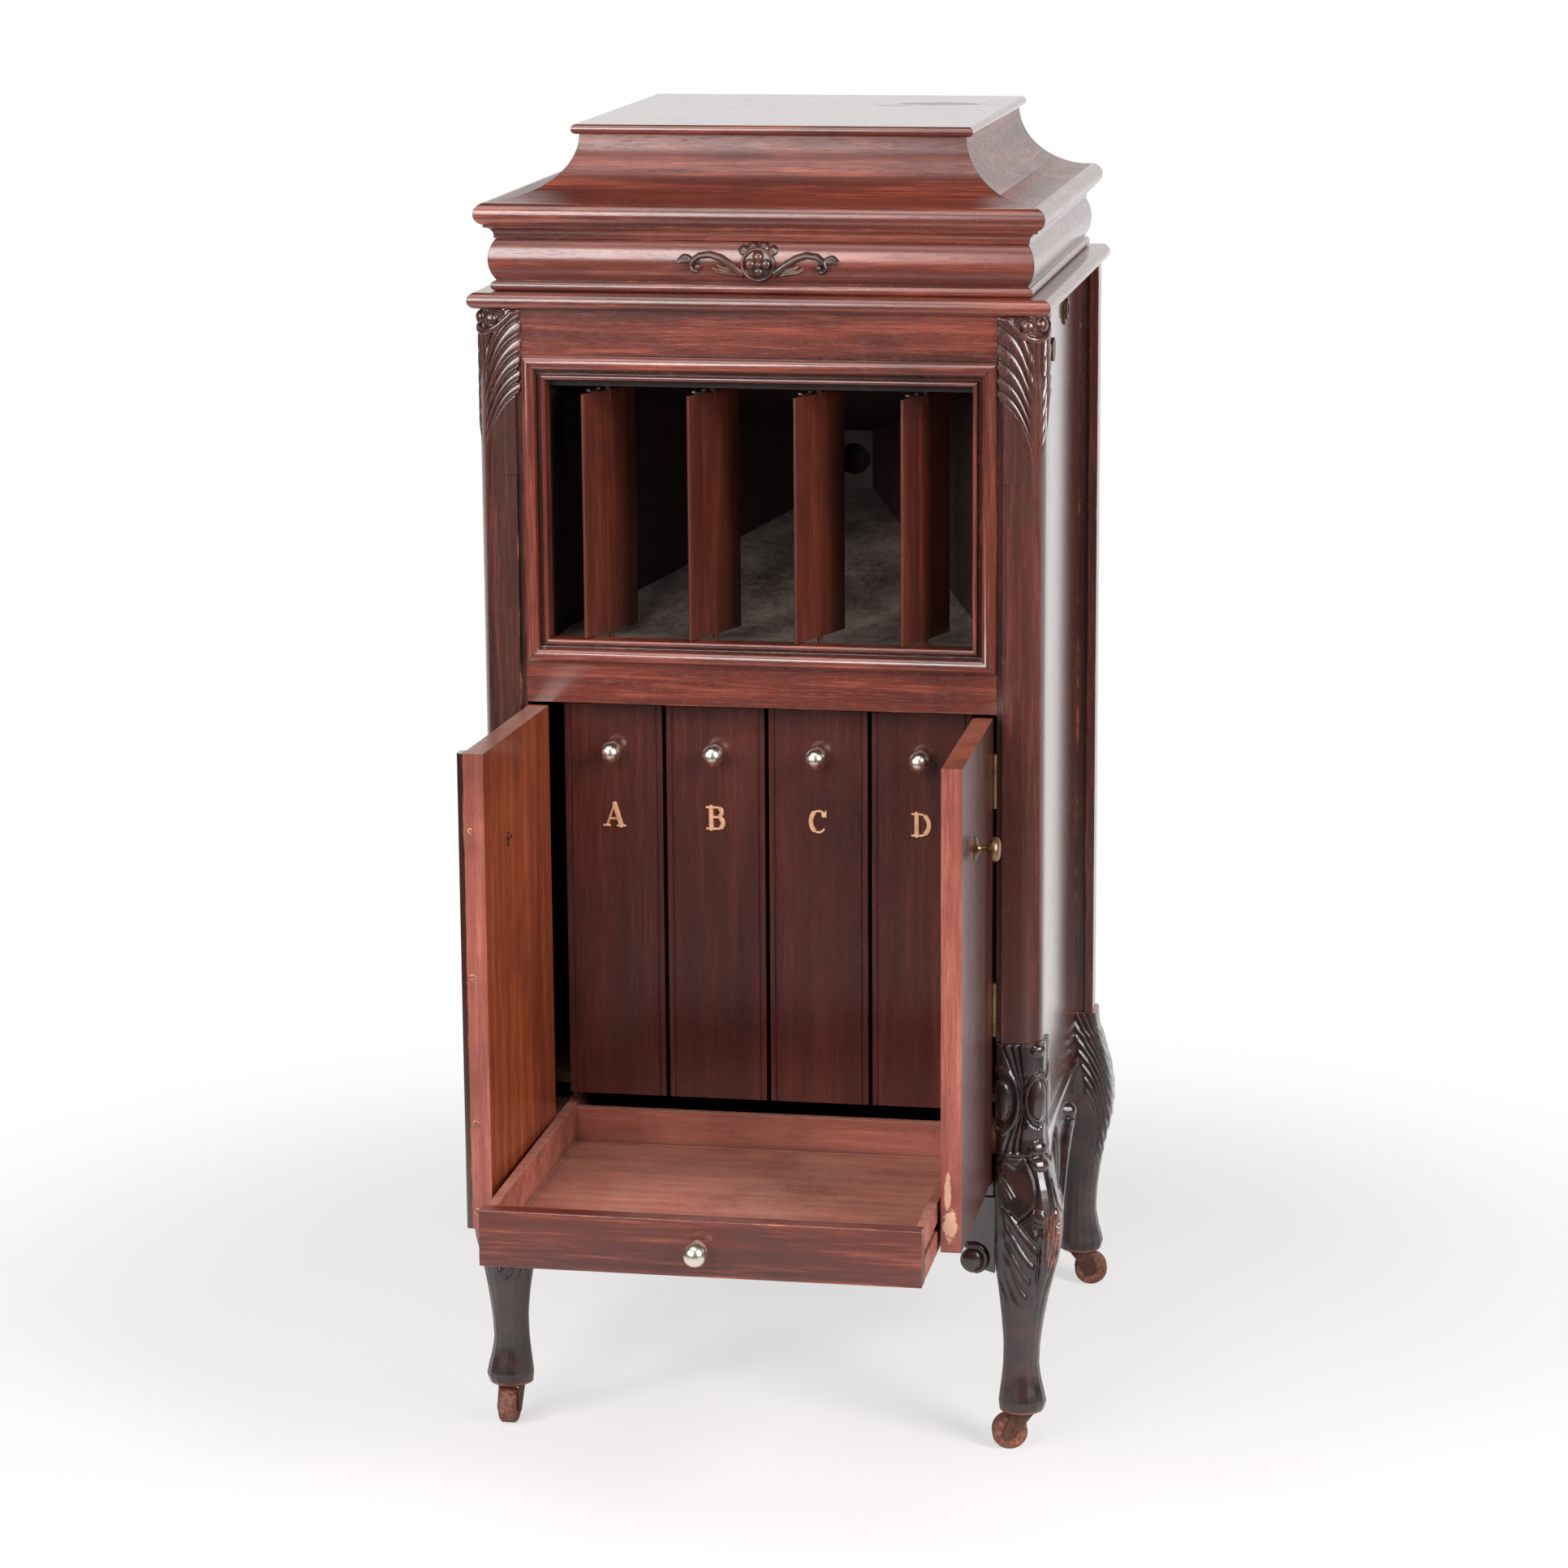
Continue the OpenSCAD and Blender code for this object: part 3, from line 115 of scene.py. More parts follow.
class Finish:
    """The nodes of a new material, or of an owner that is given, such as the world."""
    def __init__(self, name, owner=None):
        self.material = owner or bpy.data.materials.new(name)
        self.material.use_nodes = True
        self.tree = self.material.node_tree
        self.tree.nodes.clear()

    def add(self, kind, inputs=None, out=0, **settings):
        """Adds one node: its settings first, then the values or links of its sockets."""
        node = self.tree.nodes.new(kind)
        for key, value in settings.items():
            setattr(node, key, value)
        for key, value in (inputs or {}).items():
            if isinstance(value, Sum):
                self.tree.links.new(value.socket, node.inputs[key])
            else:
                node.inputs[key].default_value = value
        return Sum(self, node.outputs[out])

    def place(self):
        return self.add("ShaderNodeTexCoord", out="Object")

    def parts(self, vector):
        return [self.add("ShaderNodeSeparateXYZ", {0: vector}, out=i) for i in range(3)]

    def outward(self):
        """x, y and z of the direction that the surface faces."""
        return self.parts(self.add("ShaderNodeTexCoord", out="Normal"))

    def vector(self, x, y, z):
        return self.add("ShaderNodeCombineXYZ", {0: x, 1: y, 2: z})

    def noise(self, vector, scale, detail, rough, twist=0.0):
        return self.add("ShaderNodeTexNoise", {"Vector": vector, "Scale": scale, "Detail": detail,
                                               "Roughness": rough, "Distortion": twist})

    def blend(self, factor, first, second):
        """Mixes two colours or vectors."""
        return self.add("ShaderNodeMix", {0: factor, 6: first, 7: second}, out=2, data_type="RGBA")

    def bump(self, height, strength, depth, normal=None):
        inputs = {"Height": height, "Strength": strength, "Distance": depth}
        if normal:
            inputs["Normal"] = normal
        return self.add("ShaderNodeBump", inputs)

    def shade(self, **inputs):
        """The shader that every finish ends in. Input names are written with _ for a space."""
        surface = self.add("ShaderNodeBsdfPrincipled", {k.replace("_", " "): v for k, v in inputs.items()})
        self.add_output(surface)
        return self.material

    def add_output(self, surface, kind="ShaderNodeOutputMaterial"):
        output = self.tree.nodes.new(kind)
        self.tree.links.new(surface.socket, output.inputs["Surface"])


def colour(red, green, blue):
    return (red, green, blue, 1.0)


def darker(tint, share):
    return colour(*(v * share for v in tint[:3]))


print("shader arithmetic ready")

# %% [markdown]
# ## Mahogany
# Mahogany is a red-brown wood with broad soft bands, fine streaks along the grain, and open pores that show
# as short dark dashes. Old shellac lies over it as a thin glossy skin. The same recipe serves every board:
# only the grain's direction, the colours and the polish change. On a mitred frame the grain turns the corner
# with the moulding, so the shader picks the direction by which side of the mitre a point is on.

# %% Grain and mitres
GRAIN_STRETCH = 0.045


def past_mitre(x, y, z, mitre):
    """Above 0 on one side of a mitre and below 0 on the other, in metres. mitre is "case" for the square
    mouldings round the case, or (low, high, half width) for the frame of the louvre opening."""
    if mitre == "case":
        return (CASE_MIDDLE * MM - y) - abs(x)
    low, high, half = mitre
    return (abs(z - (low + high) / 2) - (high - low) / 2) - (abs(x) - half)


def along_grain(finish, grain, mitre=None):
    """Coordinates squeezed along the grain. grain is 0, 1 or 2 for x, y or z. Past a mitre the grain turns
    with the moulding: along y round the case, along z in the frame."""
    x, y, z = finish.parts(finish.place())

    def squeezed(axis):
        return finish.vector(*[v * GRAIN_STRETCH if i == axis else v for i, v in enumerate((x, y, z))])

    if mitre is None:
        return squeezed(grain)
    turned = 1 if mitre == "case" else 2
    return finish.blend(past_mitre(x, y, z, mitre) < 0.0, squeezed(grain), squeezed(turned))


def mitre_joint(finish, mitre):
    """A thin dark line where two mitred pieces meet."""
    across = past_mitre(*finish.parts(finish.place()), mitre)
    return 1 - abs(across).ramp(0.0002, 0.0009)


print("marks run", round(1 / GRAIN_STRETCH), "times as long along the grain as across it")

# %% Recipe for mahogany
# How far from a crease the painted shade reaches.
PAINTED_SHADE_REACH = 14 * MM
SHELLAC_IOR = 1.54
LOOKS_ALONG = 0.75  # cosine of the widest angle to an axis at which a face still counts as looking along it
BARE_WOOD = colour(0.46, 0.15, 0.065)


def spot(finish, place, centre, radii, frayed):
    """1 inside an ellipsoid whose edge is frayed by a noise, 0 outside."""
    offset = finish.add("ShaderNodeVectorMath", {0: place, 1: centre}, operation="SUBTRACT")
    offset = finish.add("ShaderNodeVectorMath", {0: offset, 1: radii}, operation="DIVIDE")
    far = finish.add("ShaderNodeVectorMath", {0: offset}, out=1, operation="LENGTH")
    return 1 - (far + (frayed - 0.5) * 1.6).ramp(0.75, 1.0)


def mahogany(name, grain, deep, tone, glow, polish, coat, pores=1.0, skin=1.0, mitre=None,
             dust=0.0, dust_colour=colour(0.33, 0.26, 0.22), rubbed=0.0, carved=0.0, marks=(), dulled=0.0,
             faces=()):
    """faces gives other colours to the faces that look along an axis, as (axis, sign, colours): painted light
    and shade by the way a face looks. marks are stains as (centre, radii, colour, strength), and dulled says
    how much polish they take away. skin is how deep the pores and waves of the surface are. The creases,
    where little sky is seen, are darkened as painted shade."""
    f = Finish(name)
    place = f.place()
    dark, stain = darker(deep, 0.3), darker(deep, 0.6)
    # Painted light and shade: faces that look along the given axis take lighter or darker copies of the
    # colours.
    for axis, sign, other in faces:
        painted_light_and_shade_side = (f.outward()[axis] * sign) > LOOKS_ALONG
        deep, tone, glow = [f.blend(painted_light_and_shade_side, a, b) for a, b in zip((deep, tone, glow), other.values())]
    grained = along_grain(f, grain, mitre)
    cloud = f.noise(grained, 16, 3, 0.55, 0.6)
    band = f.noise(grained, 70, 4, 0.6, 0.3)
    streak = f.noise(grained, 420, 3, 0.65)
    pore = f.noise(grained, 1500, 2, 0.6).ramp(0.56, 0.70)
    wear = f.noise(place, 34, 5, 0.65)
    mark = f.noise(place, 5.5, 4, 0.6)

    wood = f.blend((cloud * 0.65 + band * 0.35).ramp(0.26, 0.70), deep, tone)
    wood = f.blend((band * 0.5 + streak * 0.5).ramp(0.46, 0.70) * 0.75, wood, glow)
    wood = f.blend(pore * (0.45 * pores), wood, dark)
    wood = f.blend(mark.ramp(0.50, 0.78) * 0.5, wood, stain)
    wood = f.blend((cloud * 0.5 + mark * 0.5).ramp(0.52, 0.62) * 0.35, wood, stain)
    # Painted shade: creases, where ambient occlusion finds little open sky, are darkened towards the dark
    # pore colour.
    open_sky = f.add("ShaderNodeAmbientOcclusion", {"Distance": PAINTED_SHADE_REACH}, out="AO", samples=6,
                     only_local=True)
    wood = f.blend((1 - open_sky).ramp(0.18, 0.62) * 0.8, wood, dark)
    if rubbed:
        bare = (wear * 0.6 + streak * 0.4).ramp(0.62 - 0.16 * rubbed, 0.74 - 0.1 * rubbed)
        wood = f.blend(bare * 0.85, wood, BARE_WOOD)
    if carved:
        sharp = f.add("ShaderNodeNewGeometry", out="Pointiness")
        ridge = (sharp + (streak - 0.5) * 0.02).ramp(0.535, 0.60)
        wood = f.blend(ridge * carved, wood, colour(0.34, 0.10, 0.05))
        # Painted shade: the hollows of the carving, where Pointiness is low, go nearly black.
        wood = f.blend((0.5 - sharp).ramp(0.0, 0.07) * 0.55, wood, colour(0.008, 0.004, 0.004))
    if marks:
        frayed = f.noise(place, 130, 5, 0.7)
        for centre, radii, tint, strength in marks:
            here = spot(f, place, centre, radii, frayed) * strength
            wood = f.blend(here, wood, tint)
            if dulled:
                coat = coat - here * dulled
    roughness = polish + pore * 0.2 * pores + (wear - 0.5) * 0.12 + (mark - 0.5) * 0.1
    if dust:
        drift = f.noise(place, 13, 6, 0.7) * 0.6 + f.noise(place, 150, 4, 0.7) * 0.4
        settled = drift.ramp(0.5 - dust * 0.3, 0.72) * f.outward()[2].ramp(0.1, 0.7)
        wood = f.blend(settled * dust, wood, dust_colour)
        roughness = roughness + settled * 0.4
    if mitre:
        wood = f.blend(mitre_joint(f, mitre) * 0.8, wood, colour(0.012, 0.005, 0.004))
    normal = f.bump(pore * -1.0 * pores + streak * 0.35, 0.32 * skin, 0.00022)
    normal = f.bump(wear * 0.7 + mark, 0.10 * skin, 0.0012, normal)
    return f.shade(Base_Color=wood, Roughness=roughness, Coat_Weight=coat, Coat_Roughness=polish * 0.7,
                   Normal=normal, IOR=SHELLAC_IOR, Coat_IOR=SHELLAC_IOR)


# The painted shade in the creases reaches this far.
print("painted crease shade reaches", round(PAINTED_SHADE_REACH / MM), "mm out of a crease")

# %% Colours of the woods
def family(deep, tone, glow):
    """The colours of one wood: its dark ground, its body, and the streaks that catch the light."""
    return dict(deep=colour(*deep), tone=colour(*tone), glow=colour(*glow))


case_family = family((0.048, 0.010, 0.007), (0.165, 0.032, 0.020), (0.350, 0.080, 0.044))
dark_family = family((0.010, 0.004, 0.004), (0.044, 0.014, 0.010), (0.075, 0.020, 0.013))
post_family = family((0.022, 0.008, 0.006), (0.085, 0.020, 0.014), (0.17, 0.042, 0.026))
bin_family = family((0.042, 0.008, 0.007), (0.088, 0.016, 0.011), (0.14, 0.027, 0.017))
louvre_family = family((0.038, 0.008, 0.005), (0.098, 0.019, 0.010), (0.175, 0.037, 0.017))
# The lighter colours that the doors' front edges take, as painted light.
edge_family = family((0.15, 0.033, 0.022), (0.33, 0.085, 0.056), (0.46, 0.15, 0.105))
door_family = family((0.13, 0.024, 0.009), (0.29, 0.060, 0.020), (0.44, 0.115, 0.040))
tray_family = family((0.19, 0.052, 0.035), (0.40, 0.118, 0.080), (0.55, 0.190, 0.130))
inner_family = family((0.10, 0.04, 0.02), (0.22, 0.09, 0.045), (0.33, 0.15, 0.075))
horn_family = family((0.008, 0.003, 0.003), (0.020, 0.008, 0.006), (0.035, 0.015, 0.010))
print("the case is", case_family["tone"][:3], "and the horn", horn_family["tone"][:3])

# %% Wood finishes
# In metres: foot and top of the opening's frame and half its width, then where the stains and splinters are.
frame_mitre = (0.7545, 0.9925, 0.1948)
splinter, water_stain = colour(0.62, 0.36, 0.24), colour(0.05, 0.02, 0.016)
lid_marks = [((0.116, 0.111, 1.216), (0.046, 0.020, 0.01), water_stain, 0.75),
             ((0.075, 0.085, 1.216), (0.020, 0.007, 0.01), water_stain, 0.6)]
door_marks = [((0.2065, -0.4537, 0.283), (0.0065, 0.010, 0.016), splinter, 0.95),
              ((0.2045, -0.4537, 0.312), (0.003, 0.006, 0.020), splinter, 0.7),
              ((-0.206, -0.262, 0.428), (0.004, 0.010, 0.004), colour(0.62, 0.20, 0.09), 0.9),
              ((-0.206, -0.248, 0.418), (0.004, 0.004, 0.012), colour(0.10, 0.02, 0.01), 0.8),
              ((-0.206, -0.300, 0.640), (0.004, 0.006, 0.055), colour(0.55, 0.17, 0.07), 0.45)]


def pair(name, grain, colours, edge_rub=0.6, **more):
    """A finish and its rubbed twin, which goes on the rounded edges."""
    plain = mahogany(name, grain, **colours, **more)
    edge = mahogany(name + "_edge", grain, **colours, **more, rubbed=edge_rub)
    return plain, edge


finishes = {
    "case_x": pair("mahogany_across", 0, case_family, coat=0.7, polish=0.24),
    "cove": pair("mahogany_cove", 0, case_family, mitre="case", coat=0.1, polish=0.29),
    "case_mitre": pair("mahogany_round_case", 0, case_family, mitre="case", coat=0.8, polish=0.27),
    "frame_mitre": pair("mahogany_frame", 0, case_family, mitre=frame_mitre, coat=1.0, polish=0.22),
    "top": pair("mahogany_top", 0, case_family, coat=1.0, polish=0.25, marks=lid_marks, dulled=1.0),
    "side": pair("mahogany_side", 2, case_family, coat=1.0, polish=0.2, pores=1.2, skin=0.18),
    "post": pair("mahogany_post", 2, post_family, coat=0.7, polish=0.26),
    "bin": pair("mahogany_bin", 2, bin_family, coat=0.5, polish=0.26, pores=1.3),
    "louvre": pair("mahogany_louvre", 2, louvre_family, edge_rub=0.9, coat=0.3, polish=0.34),
    # Each door's outer face takes the dark post colours and its front edge the lighter edge colours: painted
    # shade and painted light.
    "left_door": pair("mahogany_left_door", 2, door_family, coat=0.3, polish=0.33, edge_rub=0.4,
                      marks=door_marks, faces=((0, -1, post_family), (1, -1, edge_family))),
    "right_door": pair("mahogany_right_door", 2, door_family, coat=0.35, polish=0.30, edge_rub=0.4,
                       marks=door_marks, faces=((0, 1, post_family), (1, -1, edge_family))),
    "tray": pair("mahogany_tray", 0, case_family, coat=0.35, polish=0.3),
    "tray_inside": pair("mahogany_tray_inside", 0, tray_family, coat=0.0, polish=0.55, dust=0.6,
                        dust_colour=colour(0.38, 0.19, 0.13)),
    "dark_z": pair("blackened_mahogany", 2, dark_family, coat=1.0, polish=0.17, edge_rub=0.9),
    "inner": pair("plain_inner_wood", 0, inner_family, coat=0.0, polish=0.6, dust=0.3),
    "horn": pair("dusty_horn", 1, horn_family, coat=0.0, polish=0.62, dust=0.75,
                 dust_colour=colour(0.23, 0.18, 0.15)),
}
print("mixed", len(finishes), "wood finishes")

# %% [markdown]
# ## Metals
# The ball knobs are nickel on brass, worn warm. Hinges and catch are brass that has gone brown, and the cast
# letters are brighter. The tone control and the winding plate are dark bronze, the elbow of the horn is iron
# under black japan, and the casters are rusty iron.

# %% Metals
def metal(name, light, dark, rough, tarnish, grime=0.0, metallic=1.0):
    """light is the clean metal and dark its tarnish. tarnish and grime say how much of each lies on it."""
    f = Finish(name)
    place = f.place()
    cloud = f.noise(place, 60, 4, 0.6)
    speck = f.noise(place, 700, 3, 0.6)
    mixed = f.blend((cloud * 0.7 + speck * 0.3).ramp(0.42, 0.66) * tarnish, light, dark)
    if grime:
        mixed = f.blend(speck.ramp(0.5, 0.62) * grime, mixed, colour(0.05, 0.022, 0.012))
    return f.shade(Base_Color=mixed, Metallic=metallic, Roughness=rough + cloud * 0.12 + speck * 0.08,
                   Normal=f.bump(speck, 0.12 + grime * 0.4, 0.0004))


nickel = metal("worn_nickel", colour(0.80, 0.75, 0.66), colour(0.50, 0.41, 0.29), 0.20, 0.55)
letter_brass = metal("cast_letter_brass", colour(0.95, 0.58, 0.34), colour(0.55, 0.25, 0.13), 0.38, 0.6,
                     metallic=0.7)
tarnished = metal("tarnished_brass", colour(0.30, 0.175, 0.095), colour(0.09, 0.05, 0.032), 0.34, 0.85)
bronze = metal("dark_bronze", colour(0.20, 0.115, 0.065), colour(0.07, 0.04, 0.028), 0.34, 0.8)
japanned = metal("japanned_iron", colour(0.040, 0.020, 0.015), colour(0.016, 0.009, 0.007), 0.5, 0.8, 0.2,
                 metallic=0.2)
iron = metal("rusty_iron", colour(0.14, 0.072, 0.048), colour(0.07, 0.028, 0.018), 0.5, 0.8, 0.7,
             metallic=0.6)
steel = metal("oiled_steel", colour(0.42, 0.41, 0.39), colour(0.16, 0.14, 0.12), 0.3, 0.6)
copper_screw = metal("screw_brass", colour(0.55, 0.27, 0.17), colour(0.22, 0.09, 0.06), 0.32, 0.8)


def felt():
    f = Finish("green_felt")
    place = f.place()
    nap = f.noise(place, 900, 4, 0.8)
    worn = f.noise(place, 25, 3, 0.6)
    green = f.blend(worn, colour(0.018, 0.055, 0.028), colour(0.035, 0.085, 0.045))
    green = f.blend(nap.ramp(0.4, 0.7) * 0.4, green, colour(0.07, 0.12, 0.07))
    return f.shade(Base_Color=green, Roughness=0.95, Sheen_Weight=0.12, Normal=f.bump(nap, 0.5, 0.0006))


def wheel_wood():
    f = Finish("worn_wheel_wood")
    place = f.place()
    ring = f.noise(place, 260, 4, 0.7, 0.5)
    chip = f.noise(place, 90, 4, 0.65)
    brown = f.blend(ring.ramp(0.35, 0.7), colour(0.10, 0.034, 0.022), colour(0.27, 0.095, 0.055))
    brown = f.blend(chip.ramp(0.55, 0.68), brown, colour(0.44, 0.17, 0.095))
    return f.shade(Base_Color=brown, Roughness=0.55 + ring * 0.2, Normal=f.bump(chip + ring, 0.5, 0.0006))


green_felt = felt()
turned_wheel = wheel_wood()
print("mixed the metals, the felt and the wheels")

# %% [markdown]
# ## Boards with rounded edges
# A drawn board has perfectly sharp corners, and real ones never do: shellac pools on them and hands rub them
# bright. Each board is copied, its flat faces are joined again, and a small bevel rounds the corners. The
# bevel's own faces take the rubbed twin of the finish. Weighted normals keep the flats flat.

# %% Rounded copies
BEVEL_FROM = math.radians(33)
SHARP_FROM = math.radians(38)
FLAT_WITHIN = math.radians(0.6)
WELD = 0.002 * MM


def clean_copy(node):
    """A copy of a node's mesh, with the triangles of each flat face joined again."""
    mesh = nodes[node].data.copy()
    work = bmesh.new()
    work.from_mesh(mesh)
    bmesh.ops.remove_doubles(work, verts=work.verts, dist=WELD)
    bmesh.ops.dissolve_limit(work, angle_limit=FLAT_WITHIN, verts=work.verts, edges=work.edges)
    work.to_mesh(mesh)
    work.free()
    mesh.materials.clear()
    return mesh


def add_piece(name, mesh, body, materials):
    obj = bpy.data.objects.new(name, mesh)
    bpy.context.scene.collection.objects.link(obj)
    for material in materials:
        mesh.materials.append(material)
    for face in mesh.polygons:
        face.use_smooth = True
    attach(obj, body)
    return obj


def baked(obj):
    """Turns the object's modifiers into its mesh."""
    shaped = bpy.data.meshes.new_from_object(obj.evaluated_get(bpy.context.evaluated_depsgraph_get()))
    obj.modifiers.clear()
    obj.data = shaped
    return obj


def flats_stay_flat(obj):
    """Lets the normals of a bevel follow the flat faces beside it."""
    obj.data.set_sharp_from_angle(angle=SHARP_FROM)
    flat = obj.modifiers.new("flats", "WEIGHTED_NORMAL")
    flat.keep_sharp = True
    return baked(obj)


def board(node, finish, radius):
    obj = add_piece(node + "_finished", clean_copy(node), body_of_node[node], finishes[finish])
    bevel = obj.modifiers.new("rounded", "BEVEL")
    bevel.width = radius * MM
    bevel.segments = 2
    bevel.limit_method = "ANGLE"
    bevel.angle_limit = BEVEL_FROM
    bevel.material = 1
    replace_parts(flats_stay_flat(baked(obj)), node)


# Each board's finish, and the radius of its edges in mm.
boards = {
    "case_top": ("case_mitre", 0.6), "motor_rim": ("case_mitre", 0.5), "motor_board": ("case_x", 0.8),
    "front_posts": ("post", 0.9), "rear_posts": ("post", 0.9), "front_rails": ("case_x", 0.5),
    "louvre_frame": ("frame_mitre", 0.5), "side_panels": ("side", 0.5), "back_panel": ("horn", 0.5),
    "bottom_board": ("dark_z", 2.5), "aprons": ("dark_z", 2.0), "horn_deck": ("inner", 0.5),
    "bin_rack": ("inner", 0.6), "horn": ("horn", 0.5), "tray_runners": ("inner", 0.6),
    "lid_top_board": ("top", 0.5), "lid_cove": ("cove", 0.4), "lid_rim": ("case_mitre", 0.5),
    "left_door": ("left_door", 1.0), "left_door_strip": ("dark_z", 0.6), "right_door": ("right_door", 1.0),
    "tray_front": ("tray", 1.2), "tray_box": ("tray_inside", 0.7),
    **{"bin_" + letter: ("bin", 0.9) for letter in "abcd"},
    **{"louvre_" + number: ("louvre", 0.7) for number in "1234"},
}
for node, (finish, radius) in boards.items():
    board(node, finish, radius)
print("rounded", len(boards), "wooden pieces")

# %% [markdown]
# ## Pieces that only need a finish
# The turned and cast pieces, such as knobs, hinges, forks and wheels, already have their true shape. A bevel
# would add nothing that shows at their size, so they keep their solids and only get a material.

# %% Finish the remaining nodes
plain_finish = {
    "horn_elbow": japanned, "spring_motor": steel, "crank_escutcheon": bronze, "hinge_leaves": tarnished,
    "lid_hinge_leaves": tarnished, "turntable": green_felt, "tonearm": nickel, "sound_box": nickel,
    "brake_lever": nickel, "tone_rod": bronze, "left_door_brasswork": tarnished, "right_door_knob": tarnished,
    "right_door_hinge_leaves": tarnished, "tray_knob": nickel,
}
for letter in "abcd":
    plain_finish["bin_%s_knob" % letter] = nickel
for corner in ("front_left", "front_right", "rear_left", "rear_right"):
    plain_finish[corner + "_caster_fork"] = iron
    plain_finish[corner + "_caster_wheel"] = turned_wheel


for node, material in plain_finish.items():
    nodes[node].data.materials.clear()
    nodes[node].data.materials.append(material)
print("finished", len(plain_finish), "more nodes")

# %% [markdown]
# ## Carving as a height map
# Carved leaves and scrolls are shallow, so each is described by a height above its ground, as a carver
# thinks of it: a ring is a bump at one distance from its centre, a flute is a hollow between two veins.
# The height moves a fine grid of points that lies on the real surface of the model.

# %% Height helpers
def smooth(low, high, value):
    t = np.clip((value - low) / (high - low), 0, 1)
    return t * t * (3 - 2 * t)


def dome(distance):
    """A round top over distances 0 to 1."""
    return np.sqrt(np.clip(1 - distance * distance, 0, 1))


def raised(h, distance, high, sunk=0.0):
    """Adds a round boss to the heights h, where distance runs from 0 at its middle to 1 at its edge."""
    return np.where(distance < 1, np.maximum(h, high * dome(distance) - sunk), h)


def far_from_path(x, y, path):
    """Distance to a line through the points, and how far along it the nearest place is, from 0 to 1."""
    best = np.full(x.shape, 1e9)
    along = np.zeros(x.shape)
    for i, ((x0, y0), (x1, y1)) in enumerate(zip(path, path[1:])):
        dx, dy = x1 - x0, y1 - y0
        t = np.clip(((x - x0) * dx + (y - y0) * dy) / (dx * dx + dy * dy + 1e-12), 0, 1)
        d = np.hypot(x - x0 - t * dx, y - y0 - t * dy)
        closer = d < best
        best = np.where(closer, d, best)
        along = np.where(closer, (i + t) / (len(path) - 1), along)
    return best, along


def curve(centre, radii, start, end, count=24):
    """Points on an arc of an ellipse, in degrees."""
    angles = np.radians(np.linspace(start, end, count))
    return [(centre[0] + radii[0] * math.cos(a), centre[1] + radii[1] * math.sin(a)) for a in angles]


print("height helpers ready")

# %% Grids and reliefs
RIM_SINK = 0.4  # mm by which an ornament's rim goes into its ground


def grid_mesh(name, points, keep=None, closed=False):
    """A mesh over a table of points, rows by columns. closed joins the last column to the first."""
    rows, columns = points.shape[:2]
    index = np.arange(rows * columns).reshape(rows, columns)
    right = np.roll(index, -1, axis=1) if closed else index[:, 1:]
    left = index if closed else index[:, :-1]
    quads = np.stack([left[:-1], right[:-1], right[1:], left[1:]], axis=-1).reshape(-1, 4)
    if keep is not None:
        quads = quads[keep.reshape(-1)[quads].any(axis=1)]
    used, quads = np.unique(quads, return_inverse=True)
    mesh = bpy.data.meshes.new(name)
    mesh.from_pydata((points.reshape(-1, 3)[used] * MM).tolist(), [], quads.reshape(-1, 4).tolist())
    return mesh


def relief(name, body, material, area, step, height, ground, side=0):
    """A raised ornament over an area (x0, x1, z0, z1) in mm. ground(x, z) is the surface that it lies on,
    height(x, z) how far it stands out towards the front. Where it doesn't stand out it is left away.
    side 1 or -1 lays it on the right or left side instead, with y in the place of x."""
    across, z = np.meshgrid(np.arange(area[0], area[1], step), np.arange(area[2], area[3], step))
    h = height(across, z)
    out = np.maximum(h, -RIM_SINK)
    if side:
        points = np.stack([side * (ground(across, z) + out), across, z], axis=-1)
    else:
        points = np.stack([across, ground(across, z) - out, z], axis=-1)
    if side < 0:
        points, h = points[:, ::-1], h[:, ::-1]
    return add_piece(name, grid_mesh(name, points, h > 0), body, [material])


def flat_ground(at):
    """A ground that is one upright plane."""
    return lambda across, z: at + 0 * across


print("an ornament goes", RIM_SINK, "mm into its ground")

# %% [markdown]
# ## Carved wood
# The hollows of the carving are painted nearly black, as painted shade, and the ridges are orange where a
# century of dusting has rubbed them bare. Cycles knows how sharp each point stands out, and that value does
# both.

# %% Carved finish
CARVED_POLISH = 0.25
BLOCK_TOP = 388.0
KNEE_Z, KNEE_HALF = 207.0, 22.0


